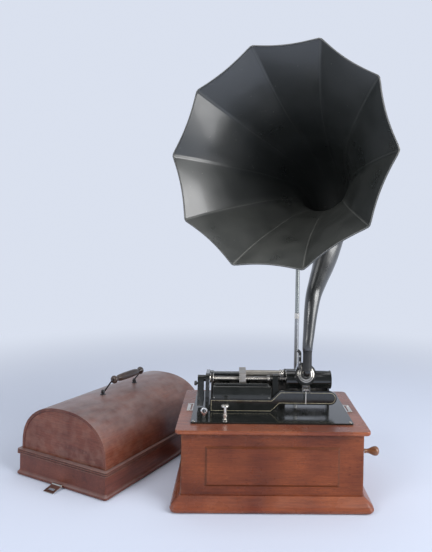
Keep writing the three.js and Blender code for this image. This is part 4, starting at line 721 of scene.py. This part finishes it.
def screwHead(name, centre, axis, size, body, slotTurn):
    radius, height = size
    steps = [(height * up, radius * out) for up, out in screwForm["profile"]]
    piece = turnPiece(name, centre, axis, steps, screwForm["sides"])
    long, wide, deep = screwForm["slot"]
    bpy.ops.object.select_all(action="DESELECT")
    bpy.ops.mesh.primitive_cube_add(size=1)
    cutter = bpy.context.object
    cutter.matrix_world = (
        Matrix.Translation(Vector(centre) + Vector(axis) * height * mm)
        @ axisTurn(axis)
        @ Matrix.Rotation(slotTurn, 4, "Z")
        @ Matrix.Diagonal((radius * long * mm, radius * wide * mm, height * deep * mm, 1))
    )
    applyModifier(piece, "slot", "BOOLEAN", object=cutter, solver="EXACT")
    bpy.data.objects.remove(cutter)
    finishPiece(piece, metals["nickel"], body)


# Cabinet
cabinet = {"edge": 0.8, "plateEdge": 0.3, "escutcheonEdge": 0.5, "slant": (0.5, 0.97)}


# The slanted edge round the raised field is coloured darker than the board
def outlineField(piece):
    piece.data.materials.append(frontOutline)
    low, high = cabinet["slant"]
    for face in piece.data.polygons:
        if low < -face.normal.y < high:
            face.material_index = 1


# The front panel, in the painted shade under the lip
easedCopy("front_panel", frontBoardPaintedShade, cabinet["edge"], "board", outlineField)
for nodeName, material in (
    ("base_moulding", mahoganyX),
    ("back_panel", mahoganyX),
    ("left_panel", mahoganyY),
    ("right_panel", mahoganyY),
    ("top_frame", mahoganyX),
):
    easedCopy(nodeName, material, cabinet["edge"], "board")
giveMaterial(nodes["bottom_board"], mahoganyX)
for nodeName in ("left_catch_plate", "right_catch_plate"):
    easedCopy(nodeName, metals["nickel"], cabinet["plateEdge"], "plate")
easedCopy("crank_escutcheon", metals["nickel"], cabinet["escutcheonEdge"], "plate")
print("cabinet dressed")

# Gold lines on the casting's larger front faces: faces from this area up, in square metres
pinstripe = {"inset": 3.4, "width": 0.55, "facing": 0.99, "leastArea": 0.0006}


def pinstripeFront(piece):
    piece.data.materials.append(goldStripe)
    onlySelect(piece)
    bpy.ops.object.mode_set(mode="EDIT")
    bpy.ops.mesh.select_mode(type="FACE")
    bpy.ops.mesh.select_all(action="DESELECT")
    shape = bmesh.from_edit_mesh(piece.data)
    shape.normal_update()
    for face in shape.faces:
        if -face.normal.y > pinstripe["facing"] and face.calc_area() > pinstripe["leastArea"]:
            face.select_set(True)
    bmesh.update_edit_mesh(piece.data)
    for width, slotIndex in ((pinstripe["inset"], 1), (pinstripe["width"], 0)):
        bpy.ops.mesh.inset(thickness=width * mm, use_boundary=True)
        piece.active_material_index = slotIndex
        bpy.ops.object.material_slot_assign()
    bpy.ops.mesh.select_mode(type="VERT")
    doneEditing()


# Bedplate and castings, with the width of their eased edges
castingEdges = {
    "left_post": 2.2, "right_post": 1, "end_cover": 4,
    "carriage_arm": 0.8, "crane_bracket": 0.7, "feed_guard": 0.5,
}
easedCopy("bedplate", blackEnamel, 0.9, "cast")
easedCopy("body_casting", blackEnamel, 0.7, "plate", pinstripeFront)
for nodeName, width in castingEdges.items():
    easedCopy(nodeName, blackEnamel, width, "cast")
for nodeName in ("start_lever", "crank_arm", "lift_lever"):
    easedCopy(nodeName, metals["nickel"], 0.35, "plate")
easedCopy("feed_nut_arm", metals["wornNickel"], 1.6, "cast")

# Black blocks behind the works, put where it is dark between the guard and the rods and under the
# mandrel
darkFillBlocks = {
    "darkFill": ((-148, 64, 190), (46, 69, 247)),
    "darkFillLow": ((46, 52, 214), (152, 69, 231)),
}
for name, (low, high) in darkFillBlocks.items():
    bpy.ops.object.select_all(action="DESELECT")
    bpy.ops.mesh.primitive_cube_add(size=1, location=(Vector(low) + Vector(high)) * mm / 2)
    web = bpy.context.object
    web.name = name
    web.scale = (Vector(high) - Vector(low)) * mm
    finishPiece(web, blackEnamel, "cabinet")

# Rail in front of the feed screw, its bent ends standing on the casting
frontRail = {
    "route": ((-140, -36, 222.5), (-140, -23, 253.6), (-4, -23, 253.6), (-4, -36, 222.5)),
    "bends": (7, 7), "radius": 3.4,
}
railRoute = roundedRoute(frontRail["route"], frontRail["bends"])
rail = bendWire("frontRail", railRoute, frontRail["radius"])
finishPiece(rail, blackEnamel, "cabinet", (), roundSmooth)

# Knob on the end cover
coverKnob = {
    "place": (-181.6, -12, 253), "sides": 32,
    "steps": [(0, 2.6), (2.2, 2.6), (2.4, 5), (3.2, 5.8), (7, 5.8), (8.2, 5.2), (8.8, 3.4)],
}
knobPlace = Vector(coverKnob["place"]) * mm
knob = turnPiece("coverKnob", knobPlace, (-1, 0, 0), coverKnob["steps"], coverKnob["sides"])
finishPiece(knob, blackEnamel, "cabinet")
print("castings dressed")

# Motor and other inner pieces keep their CAD shapes
for nodeName, metal in {
    "motor_frame": "steel", "spring_barrel": "brass", "intermediate_gear": "brass",
    "drive_shaft": "brass", "drive_pulley": "steel", "governor": "brass",
    "winding_shaft": "steel", "brake_arm": "steel", "stylus_weight": "nickel",
}.items():
    giveMaterial(nodes[nodeName], metals[metal])

belt = {"edge": 0.2, "widthShare": 0.5}


# The belt runs in the middle of its pulleys and leaves their rims bare
def narrowBelt(piece):
    low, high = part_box("drive_belt")
    editAll(piece)
    share = (belt["widthShare"], 1, 1)
    bpy.ops.transform.resize(value=share, center_override=(low + high) / 2)
    doneEditing()


easedCopy("drive_belt", beltLeather, belt["edge"], "belt", narrowBelt)

# The mandrel tapers from big to small, and is a shell behind the web at its left end
mandrelShape = {
    "length": 113, "big": 23, "small": 21.4, "lip": 22.6, "wall": 2.4, "bore": 4.3, "web": 6,
}


def mandrelSteps(length, big, small, lip, wall, bore, web):
    return [
        (0, bore), (0, big - 1.2), (0.4, big - 0.4), (1.2, big), (length - 3.4, small),
        (length - 3, lip - 0.3), (length - 2.6, lip), (length - 0.4, lip), (length, lip - 0.4),
        (length, small - wall), (web, big - wall - 0.6), (web, bore), (0, bore),
    ]


replaceTurned("mandrel", blackEnamel, mandrelSteps(**mandrelShape), 72, hollow=True)

# Thread, then the belt pulley's seat, then the mandrel's shaft
feedScrew = {
    "steps": [
        (0, 3.4), (0.6, 4), (35.6, 4), (36, 5.2), (36.4, 5.6), (168.6, 5.6), (169, 5.6), (169, 8.1),
        (169.4, 8.5), (176.6, 8.5), (177, 8.1), (177, 4), (326.4, 4), (327, 3.4),
    ],
    "sides": 40,
}
replaceTurned("feed_screw", threadSteel, feedScrew["steps"], feedScrew["sides"])

beltPulley = {"radius": 11, "bore": 4.3, "wide": 10}


# A flat rim between two flanges; the profile is the same read from either side
def pulleySteps(radius, bore, wide):
    half = [
        (0, bore), (0, radius + 1.9), (0.5, radius + 2.4), (1, radius + 2.2), (1.3, radius + 0.3),
        (1.8, radius),
    ]
    return half + [(wide - along, out) for along, out in reversed(half)] + [(0, bore)]


replaceTurned("mandrel_pulley", metals["nickel"], pulleySteps(**beltPulley), hollow=True)

backRod = {
    "steps": [
        (0, 6.2), (0.5, 6.75), (9.3, 6.75), (9.3, 8.1), (9.7, 8.5), (17.9, 8.5), (18.3, 8.1),
        (18.3, 6.75), (319.5, 6.75), (320, 6.2),
    ],
}
replaceTurned("back_rod", metals["dullRod"], backRod["steps"])

# The carriage's sleeve with two raised collars, and a bright band round each
sleeve = {
    "left": [(0, 7.05), (0, 10.1), (0.4, 10.5)], "right": [(158, 10.5), (158, 7.05), (0, 7.05)],
    "collar": [(0, 10.5), (0, 11.8), (0.4, 12.2), (3.6, 12.2), (4, 11.8), (4, 10.5)],
    "band": [(0, 12), (0, 12.6), (0.5, 12.9), (3.5, 12.9), (4, 12.6), (4, 12), (0, 12)],
    "collarsAt": (88.5, 95), "back": 45, "height": 262, "sides": 56,
}
sleeveSteps = list(sleeve["left"])
for collarAt in sleeve["collarsAt"]:
    sleeveSteps += [(collarAt + along, radius) for along, radius in sleeve["collar"]]
sleeveSteps += sleeve["right"]
replaceTurned(
    "carriage_sleeve", metals["wornNickel"], sleeveSteps, sleeve["sides"], hollow=True
)
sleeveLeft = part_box("carriage_sleeve")[0].x / mm
for index, collarAt in enumerate(sleeve["collarsAt"]):
    bandPlace = Vector((sleeveLeft + collarAt, sleeve["back"], sleeve["height"])) * mm
    band = turnPiece(
        f"sleeveBand{index}", bandPlace, (1, 0, 0), sleeve["band"], sleeve["sides"], True
    )
    finishPiece(band, metals["nickel"], "carriage")
print("works turned")

# Reproducer and its ring, on the axis out of the eye
reproducer = {
    "centre": (85, -40, 285), "tilt": 20, "sides": 64,
    "body": [
        (-7, 21.5), (-6.5, 22.6), (-5.6, 23), (-2, 23), (-1.6, 22.4), (1.6, 22.4), (2, 23),
        (5.8, 23), (6.6, 22.6), (7, 21.6), (7, 10),
    ],
    "ring": [
        (7.3, 10.6), (7.3, 19.6), (7.7, 20), (9.6, 20), (10.2, 19.6), (10.6, 18.4), (10.8, 16.6),
        (10.6, 15.4), (10.9, 14.6), (11.3, 13.2), (11.3, 11.2), (11, 10.6), (7.3, 10.6),
    ],
}
eyeTilt = math.radians(reproducer["tilt"])
eyeAxis = Vector((0, -math.cos(eyeTilt), math.sin(eyeTilt)))
eyeCentre = Vector(reproducer["centre"]) * mm
for name, part, material, slot, nodeName, hollow in (
    ("reproducerTurned", "body", blackEnamel, "black_enamel", "reproducer", False),
    ("reproducerRingTurned", "ring", metals["nickel"], "nickel", "reproducer_ring", True),
):
    steps, sides = reproducer[part], reproducer["sides"]
    piece = turnPiece(name, eyeCentre, eyeAxis, steps, sides, hollow)
    finishPiece(piece, material, "carriage", [nodeName])

# The sound's way: elbow and cuff, and a hooked bracket beside them
cuffShape = {
    "steps": [
        (0, 9.8), (0, 10.8), (0.7, 11.4), (2.6, 11.5), (3.4, 11), (7, 10.9), (40.4, 10.9),
        (44, 11.1), (44.8, 11.5), (47.8, 11.5), (48.4, 11), (48.4, 9.8), (0, 9.8),
    ],
}
easedCopy("sound_elbow", blackEnamel, 0.4, "tube")
replaceTurned("rubber_cuff", blackRubber, cuffShape["steps"], hollow=True, upright=True)
hookedBracket = {
    "route": ((70, -47, 302), (70, -47, 342), (63, -47, 347)), "bend": 4, "radius": 3.8,
    "screwsAt": ((70, -49, 318), (70, -49, 333)), "screw": (3.1, 2.4), "slotTurn": 0.6,
}
hookRoute = roundedRoute(hookedBracket["route"], (hookedBracket["bend"],))
hooked = bendWire("hookedBracket", hookRoute, hookedBracket["radius"])
finishPiece(hooked, blackEnamel, "carriage", (), roundSmooth)
for index, place in enumerate(hookedBracket["screwsAt"]):
    screwHead(
        f"bracketScrew{index}", Vector(place) * mm, (0, -1, 0), hookedBracket["screw"],
        "carriage", hookedBracket["slotTurn"],
    )
print("sound way made")

# Horn: one surface rule for neck and bell, swept along the same centreline as the frame
horn = {
    "foot": (85, -70, 353.2), "rise": 447, "throat": 22, "mouth": 488, "panels": 10, "wall": 1.2,
    "azimuth": 25.4, "twist": 1.1, "bellStart": 0.445, "joint": 0.0007, "plug": 9.2,
    "plugLength": 28, "roundUntil": 0.42, "panelledFrom": 0.78, "rimDip": 0.03, "seamsFrom": 0.55,
    "bead": 1.5, "beadWidth": 2.6, "beadsFrom": 0.5, "beadsFull": 0.62, "leastPanel": 6,
    "bellRows": 70, "neckRows": 60, "pathSteps": 400, "denseSteps": 60,
}
hornPathShares = [
    (0, 0), (0, 0.012), (0.0035, 0.034), (0.015, 0.074), (0.047, 0.199), (0.087, 0.282),
    (0.166, 0.355), (0.269, 0.44), (0.345, 0.528), (0.403, 0.664), (0.358, 0.799), (0.235, 0.892),
    (-0.011, 0.938), (-0.271, 0.963), (-0.521, 0.993),
]
bellOffsets = (-1, -0.985, -0.965, -0.93, -0.6, -0.3, 0, 0.3, 0.6, 0.93, 0.965, 0.985)
neckOffsets = (-1, -0.5, 0, 0.5)


def smoothBetween(value, low, high):
    t = min(max((value - low) / (high - low), 0), 1)
    return t * t * (3 - 2 * t)


# Points of a centripetal spline through the shares, evenly spread by length
def hornCentreline(count):
    spots = [Vector((back, up)) * horn["rise"] for back, up in hornPathShares]
    spots = [spots[0] * 2 - spots[1], *spots, spots[-1] * 2 - spots[-2]]
    dense = []
    for i in range(1, len(spots) - 2):
        a, b, c, d = spots[i - 1 : i + 3]
        gaps = [max((q - p).length ** 0.5, 1e-6) for p, q in ((a, b), (b, c), (c, d))]
        m1 = ((b - a) / gaps[0] - (c - a) / (gaps[0] + gaps[1]) + (c - b) / gaps[1]) * gaps[1]
        m2 = ((c - b) / gaps[1] - (d - b) / (gaps[1] + gaps[2]) + (d - c) / gaps[2]) * gaps[1]
        for j in range(horn["denseSteps"]):
            t = j / horn["denseSteps"]
            ends = b * (2 * t**3 - 3 * t**2 + 1) + c * (-2 * t**3 + 3 * t**2)
            dense.append(ends + m1 * (t**3 - 2 * t**2 + t) + m2 * (t**3 - t**2))
    dense.append(spots[-2])
    lengths = [0]
    for p, q in zip(dense, dense[1:]):
        lengths.append(lengths[-1] + (q - p).length)
    even, k = [], 0
    for i in range(count + 1):
        goal = lengths[-1] * i / count
        while k < len(lengths) - 2 and lengths[k + 1] < goal:
            k += 1
        part = (goal - lengths[k]) / (lengths[k + 1] - lengths[k])
        heading = (dense[k + 1] - dense[k]).normalized()
        even.append((dense[k].lerp(dense[k + 1], part), heading))
    return even


centreline = hornCentreline(horn["pathSteps"])
azimuth = math.radians(horn["azimuth"])
backward = Vector((math.sin(azimuth), math.cos(azimuth), 0))
sideways = Vector((math.cos(azimuth), -math.sin(azimuth), 0))
hornFoot = Vector(horn["foot"])


def centreAt(share):
    spot = share * (len(centreline) - 1)
    k = min(int(spot), len(centreline) - 2)
    (p, tp), (q, tq) = centreline[k], centreline[k + 1]
    return p.lerp(q, spot - k), tp.lerp(tq, spot - k).normalized()


# A point of the horn's inner face; grow moves it outwards, a bead raises the seams inside
def hornPoint(share, angle, grow=0):
    centre, tangent = centreAt(share)
    panelHalf = math.pi / horn["panels"]
    offPanel = (angle + panelHalf) % (2 * panelHalf) - panelHalf
    panelled = smoothBetween(share, horn["roundUntil"], horn["panelledFrom"])
    dip = horn["rimDip"] * smoothBetween(share, horn["panelledFrom"], 1)
    flat = math.cos(panelHalf) / math.cos(offPanel)
    inward = 1 - dip * (1 - (offPanel / panelHalf) ** 2)
    plain = horn["throat"] / 2 * (horn["mouth"] / horn["throat"]) ** share
    radius = plain * (1 + panelled * (flat - 1)) * inward + grow
    seam = 1 - abs(offPanel) / panelHalf
    beadWidth = horn["beadWidth"] / max(plain * panelHalf, horn["leastPanel"])
    if seam < beadWidth and share > horn["bellStart"]:
        rising = smoothBetween(share, horn["beadsFrom"], horn["beadsFull"])
        radius -= horn["bead"] * math.cos(seam / beadWidth * quarter) * rising
    turned = angle + math.radians(horn["twist"])
    up, across = radius * math.cos(turned), radius * math.sin(turned)
    along = Vector((centre.x + tangent.y * up, centre.y - tangent.x * up))
    return (hornFoot + backward * along.x + sideways * across + Vector((0, 0, along.y))) * mm


def panelAngles(offsets):
    half = math.pi / horn["panels"]
    return [2 * half * i + half * offset for i in range(horn["panels"]) for offset in offsets]


# A tube drawn as a grid, its columns round the horn and its rows along it, then rolled up by the
# surface rule. A row is a share of the way, or for the plug a radius and a height.
def rollHorn(name, rows, offsets, grow, wallSide, seamed=False):
    angles = panelAngles(offsets)
    bpy.ops.object.select_all(action="DESELECT")
    bpy.ops.mesh.primitive_grid_add(
        x_subdivisions=len(angles), y_subdivisions=len(rows) - 1, size=1
    )
    piece = bpy.context.object
    for index, vertex in enumerate(piece.data.vertices):
        row, column = divmod(index, len(angles) + 1)
        share, plug = rows[row]
        angle = angles[column % len(angles)]
        if plug is None:
            vertex.co = hornPoint(share, angle, grow)
        else:
            radius, height = plug
            ring = backward * math.cos(angle) * radius + sideways * math.sin(angle) * radius
            vertex.co = (hornFoot + ring + Vector((0, 0, height))) * mm
    piece.data.materials.append(hornBlack)
    piece.data.materials.append(hornSeam)
    for index, face in enumerate(piece.data.polygons):
        row, column = divmod(index, len(angles))
        besideSeam = column % len(offsets) in (0, len(offsets) - 1)
        if seamed and besideSeam and rows[row][0] > horn["seamsFrom"]:
            face.material_index = 1
    editAll(piece)
    bpy.ops.mesh.remove_doubles(threshold=0.01 * mm)
    bpy.ops.mesh.normals_make_consistent(inside=False)
    doneEditing()
    piece.name = name
    applyModifier(piece, "wall", "SOLIDIFY", thickness=horn["wall"] * mm, offset=wallSide)
    return piece


bellStart, wall = horn["bellStart"], horn["wall"]
bellSteps, neckSteps = horn["bellRows"], horn["neckRows"]
bellRows = [(bellStart + (1 - bellStart) * i / bellSteps, None) for i in range(bellSteps + 1)]
bell = rollHorn("hornBellRolled", bellRows, bellOffsets, 0, 1, True)
finishPiece(bell, None, "horn", ["horn_bell"], roundSmooth)

neckRows = [
    (0, (horn["plug"], -horn["plugLength"])), (0, (horn["plug"], -wall)),
    (0, (horn["throat"] / 2 + wall / 2, -wall / 2)), (0, (horn["throat"] / 2 + wall, 0)),
]
neckEnd = bellStart - horn["joint"]
neckRows += [(neckEnd * i / neckSteps, None) for i in range(1, neckSteps + 1)]
neck = rollHorn("hornNeckRolled", neckRows, neckOffsets, wall, -1)
finishPiece(neck, neckBlack, "horn", ["horn_neck"], roundSmooth)

rimWire = {"share": 0.9985, "outwards": 0.6, "radius": 1.7, "panelSteps": 16, "smooth": 60}
rimOffsets = [2 * i / rimWire["panelSteps"] - 1 for i in range(rimWire["panelSteps"])]
rimPoints = [
    hornPoint(rimWire["share"], angle, rimWire["outwards"]) for angle in panelAngles(rimOffsets)
]
rim = bendWire("hornRimWire", rimPoints, rimWire["radius"], True)
finishPiece(rim, hornBlack, "horn", (), rimWire["smooth"])
print("horn rolled")

# Ring on the horn, crane and its hook
crane = {
    "x": 85, "y": 165, "bottom": 406.3, "top": 985, "reach": -70, "tip": 950, "bends": (38, 34.9),
    "radius": 5.9, "spigotFoot": 90, "spigot": [(0, 3.4), (0.6, 4), (316.2, 4)],
    "collar": [
        (0, 4.3), (0, 6.6), (0.4, 7), (3.6, 7), (4, 6.6), (4.4, 7), (15.5, 7), (16, 6.6), (16, 4.3),
        (0, 4.3),
    ],
    "tube": [(0, 5.9), (0.4, 6.3), (337.3, 6.3), (337.7, 5.9)], "sides": 40, "spigotSides": 24,
}
easedCopy("horn_ring", metals["nickel"], 0.3, "ring")
easedCopy("crane_hook", metals["nickel"], 0.2, "wire")
craneX, craneY, reach = crane["x"], crane["y"], crane["reach"]
craneRoute = roundedRoute(
    (
        (craneX, craneY, crane["bottom"]), (craneX, craneY, crane["top"]),
        (craneX, reach, crane["top"]), (craneX, reach, crane["tip"]),
    ),
    crane["bends"],
)
craneRod = bendWire("craneRodBent", craneRoute, crane["radius"])
finishPiece(craneRod, metals["agedNickel"], "crane", ["crane_rod"], roundSmooth)
spigotPlace = Vector((craneX, craneY, crane["spigotFoot"])) * mm
spigotSteps, spigotSides = crane["spigot"], crane["spigotSides"]
spigot = turnPiece("craneSpigot", spigotPlace, (0, 0, 1), spigotSteps, spigotSides)
finishPiece(spigot, metals["steel"], "crane")
sides = crane["sides"]
replaceTurned("crane_collar", metals["nickel"], crane["collar"], sides, True, True)
replaceTurned("crane_tube", metals["steel"], crane["tube"], sides, upright=True)
print("crane made")

# Controls and winding handle
speedKnob = {
    "steps": [
        (0, 3.4), (0.4, 3.8), (40.3, 3.8), (40.3, 6), (40.7, 6.4), (42.6, 6.4), (43, 6), (43, 3.8),
        (48, 3.8), (48, 5), (48.4, 5.4), (53.1, 5.4), (53.5, 5), (53.5, 3.8), (72, 3.8), (72, 9),
        (72.4, 9.4), (75.2, 9.4), (76, 9), (76.8, 7.6), (77, 5),
    ],
}
crankKnob = {
    "steps": [
        (0, 3.4), (0, 5), (0.4, 5.4), (3, 5.5), (4.4, 4.8), (7.5, 5), (11, 5.9), (15, 7.7),
        (19, 9.4), (23, 10.8), (26, 11.3), (28.5, 11.3), (31, 10.6), (33.4, 8.8), (35, 6.2),
        (35.8, 3.2), (36, 0.6),
    ],
}
replaceTurned("speed_knob", metals["nickel"], speedKnob["steps"], upright=True)
replaceTurned("crank_knob", knobWood, crankKnob["steps"])
print("controls made")

# Lid, with the width of its eased edges; its grip's profile runs from the middle to one end
lidPieces = {
    "lid_band": (lidLong, 0.6), "lid_shell": (lidLong, 0.9),
    "lid_end_near": (lidAcross, 0.8), "lid_end_far": (lidAcross, 0.8),
}
gripHalf = [
    (0, 10), (16, 9.9), (30, 9.4), (38, 8.4), (42, 6.8), (44.5, 6), (46.4, 6.4), (49, 7.6),
    (51, 9.2), (53.4, 10.4), (56, 10.6), (58.6, 9.6), (60.4, 7.6), (61, 5.6), (61, 2.5),
]
for nodeName, (material, width) in lidPieces.items():
    easedCopy(nodeName, material, width, "lid")
for nodeName in ("lid_clip_near", "lid_clip_far"):
    easedCopy(nodeName, metals["nickel"], 0.35, "plate")
for nodeName in ("bail_eye_near", "bail_eye_far", "bail"):
    easedCopy(nodeName, metals["darkWire"], 0.2, "wire")
gripLow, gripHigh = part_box("bail_grip")
lidAlong = Vector((math.cos(lidTurn), math.sin(lidTurn), 0))
gripSteps = [(-along, radius) for along, radius in reversed(gripHalf[1:])]
gripSteps += gripHalf + gripSteps[:1]
grip = turnPiece("bailGripTurned", (gripLow + gripHigh) / 2, lidAlong, gripSteps, hollow=True)
finishPiece(grip, turnedWood, "lid_bail", ["bail_grip"], roundSmooth)
print("lid dressed")

# Small fastenings: each screw's radius and height, and how far its slot turns from the last
bedScrews = {
    "places": ((-185, -106), (185, -106), (-185, 127), (185, 127)), "height": 190.05,
    "size": (3.6, 1.6), "turn": 0.7,
}
catchScrews = {"out": 204, "middle": 5, "apart": 22, "height": 187.25, "size": (2.2, 0.8)}
for index, place in enumerate(bedScrews["places"]):
    centre = Vector((*place, bedScrews["height"])) * mm
    slotTurn = index * bedScrews["turn"]
    screwHead(f"bedScrew{index}", centre, (0, 0, 1), bedScrews["size"], "cabinet", slotTurn)
for side in (-1, 1):
    for end in (-1, 1):
        back = catchScrews["middle"] + end * catchScrews["apart"]
        centre = Vector((side * catchScrews["out"], back, catchScrews["height"])) * mm
        name = f"catchScrew{side + 1}{end + 1}"
        screwHead(name, centre, (0, 0, 1), catchScrews["size"], "cabinet", side + end)
print("fastenings set")

# Floor, backdrop and light
stage = {
    "pale": (0.70, 0.75, 0.86, 1), "floor": (0.72, 0.785, 0.94, 1), "span": 30, "below": 0.0005,
    "fadeFrom": 0.95, "fadeTo": 2.3, "room": (0.8, 0.82, 0.86, 1), "roomLight": 0.36,
    "ceiling": (0.2, 0.75, 1, 0.25), "darkFront": (-0.95, -0.1, 0.3, 1),
}
# Each lamp's place, what it faces, its size and its power
lamps = {
    "keyWindow": ((-2.1, -2.2, 1.9), (0, -0.1, 0.45), (1.5, 1.7), 40),
    "sideWindow": ((2.45, -1.45, 1.15), (-0.15, -0.2, 0.75), (1.7, 2.2), 64),
    "highWindow": ((1.95, -1.95, 2.4), (-0.15, -0.2, 0.7), (1.4, 1.4), 42),
    "topPanel": ((-0.2, 0.4, 2.7), (0, 0, 0.3), (2.2, 1.6), 14),
}


# Lit and shadowed round the object, the backdrop's own tone further out, so that no edge shows
def stageMaterial():
    material = bpy.data.materials.new("paleStage")
    tree = emptyTree(material)
    output = addNode(tree, "ShaderNodeOutputMaterial")
    lit = addNode(tree, "ShaderNodeBsdfDiffuse", {"Color": stage["floor"]}).outputs[0]
    far = addNode(tree, "ShaderNodeEmission", {"Color": stage["pale"]}).outputs[0]
    place = addNode(tree, "ShaderNodeTexCoord").outputs["Object"]
    away = addNode(tree, "ShaderNodeVectorMath", {0: place}, operation="LENGTH").outputs["Value"]
    span = {0: away, 1: stage["fadeFrom"], 2: stage["fadeTo"]}
    fade = addNode(tree, "ShaderNodeMapRange", span, interpolation_type="SMOOTHSTEP").outputs[0]
    mixed = addNode(tree, "ShaderNodeMixShader", {0: fade, 1: lit, 2: far})
    tree.links.new(mixed.outputs[0], output.inputs["Surface"])
    return material


# The camera sees the pale tone, gloss mirrors it with a darker ceiling and front, and the rest
# of the world only lights
def lightRoom():
    world = bpy.data.worlds.new("softRoom")
    bpy.context.scene.world = world
    tree = emptyTree(world)
    output = addNode(tree, "ShaderNodeOutputWorld")
    rays = addNode(tree, "ShaderNodeLightPath").outputs
    shown = mathNode(tree, "MAXIMUM", rays["Is Camera Ray"], rays["Is Transmission Ray"])
    direction = addNode(tree, "ShaderNodeTexCoord").outputs["Generated"]
    heading = addNode(tree, "ShaderNodeSeparateXYZ", {0: direction}).outputs
    ceiling = mapRange(tree, heading["Z"], *stage["ceiling"])
    darkFront = mapRange(tree, heading["Y"], *stage["darkFront"])

    def background(colour, strength):
        values = {"Color": colour, "Strength": strength}
        return addNode(tree, "ShaderNodeBackground", values).outputs[0]

    plain = background(stage["room"], stage["roomLight"])
    mirrored = background(stage["pale"], times(tree, ceiling, darkFront))
    seen = background(stage["pale"], 1)
    gloss = {0: rays["Is Glossy Ray"], 1: plain, 2: mirrored}
    unseen = addNode(tree, "ShaderNodeMixShader", gloss).outputs[0]
    mixed = addNode(tree, "ShaderNodeMixShader", {0: shown, 1: unseen, 2: seen})
    tree.links.new(mixed.outputs[0], output.inputs["Surface"])


def softLamp(name, place, target, size, power):
    data = bpy.data.lights.new(name, "AREA")
    data.shape = "RECTANGLE"
    data.size, data.size_y = size
    data.energy = power
    lamp = addObject(name, data)
    lamp.matrix_world = Matrix.Translation(place) @ axisTurn(Vector(place) - Vector(target))


bpy.ops.object.select_all(action="DESELECT")
bpy.ops.mesh.primitive_plane_add(
    size=stage["span"], location=(0, 0, -stage["below"])
)
floor = bpy.context.object
floor.name = "floor"
floor.data.materials.append(stageMaterial())
lightRoom()
for name, lamp in lamps.items():
    softLamp(name, *lamp)
print("stage lit")
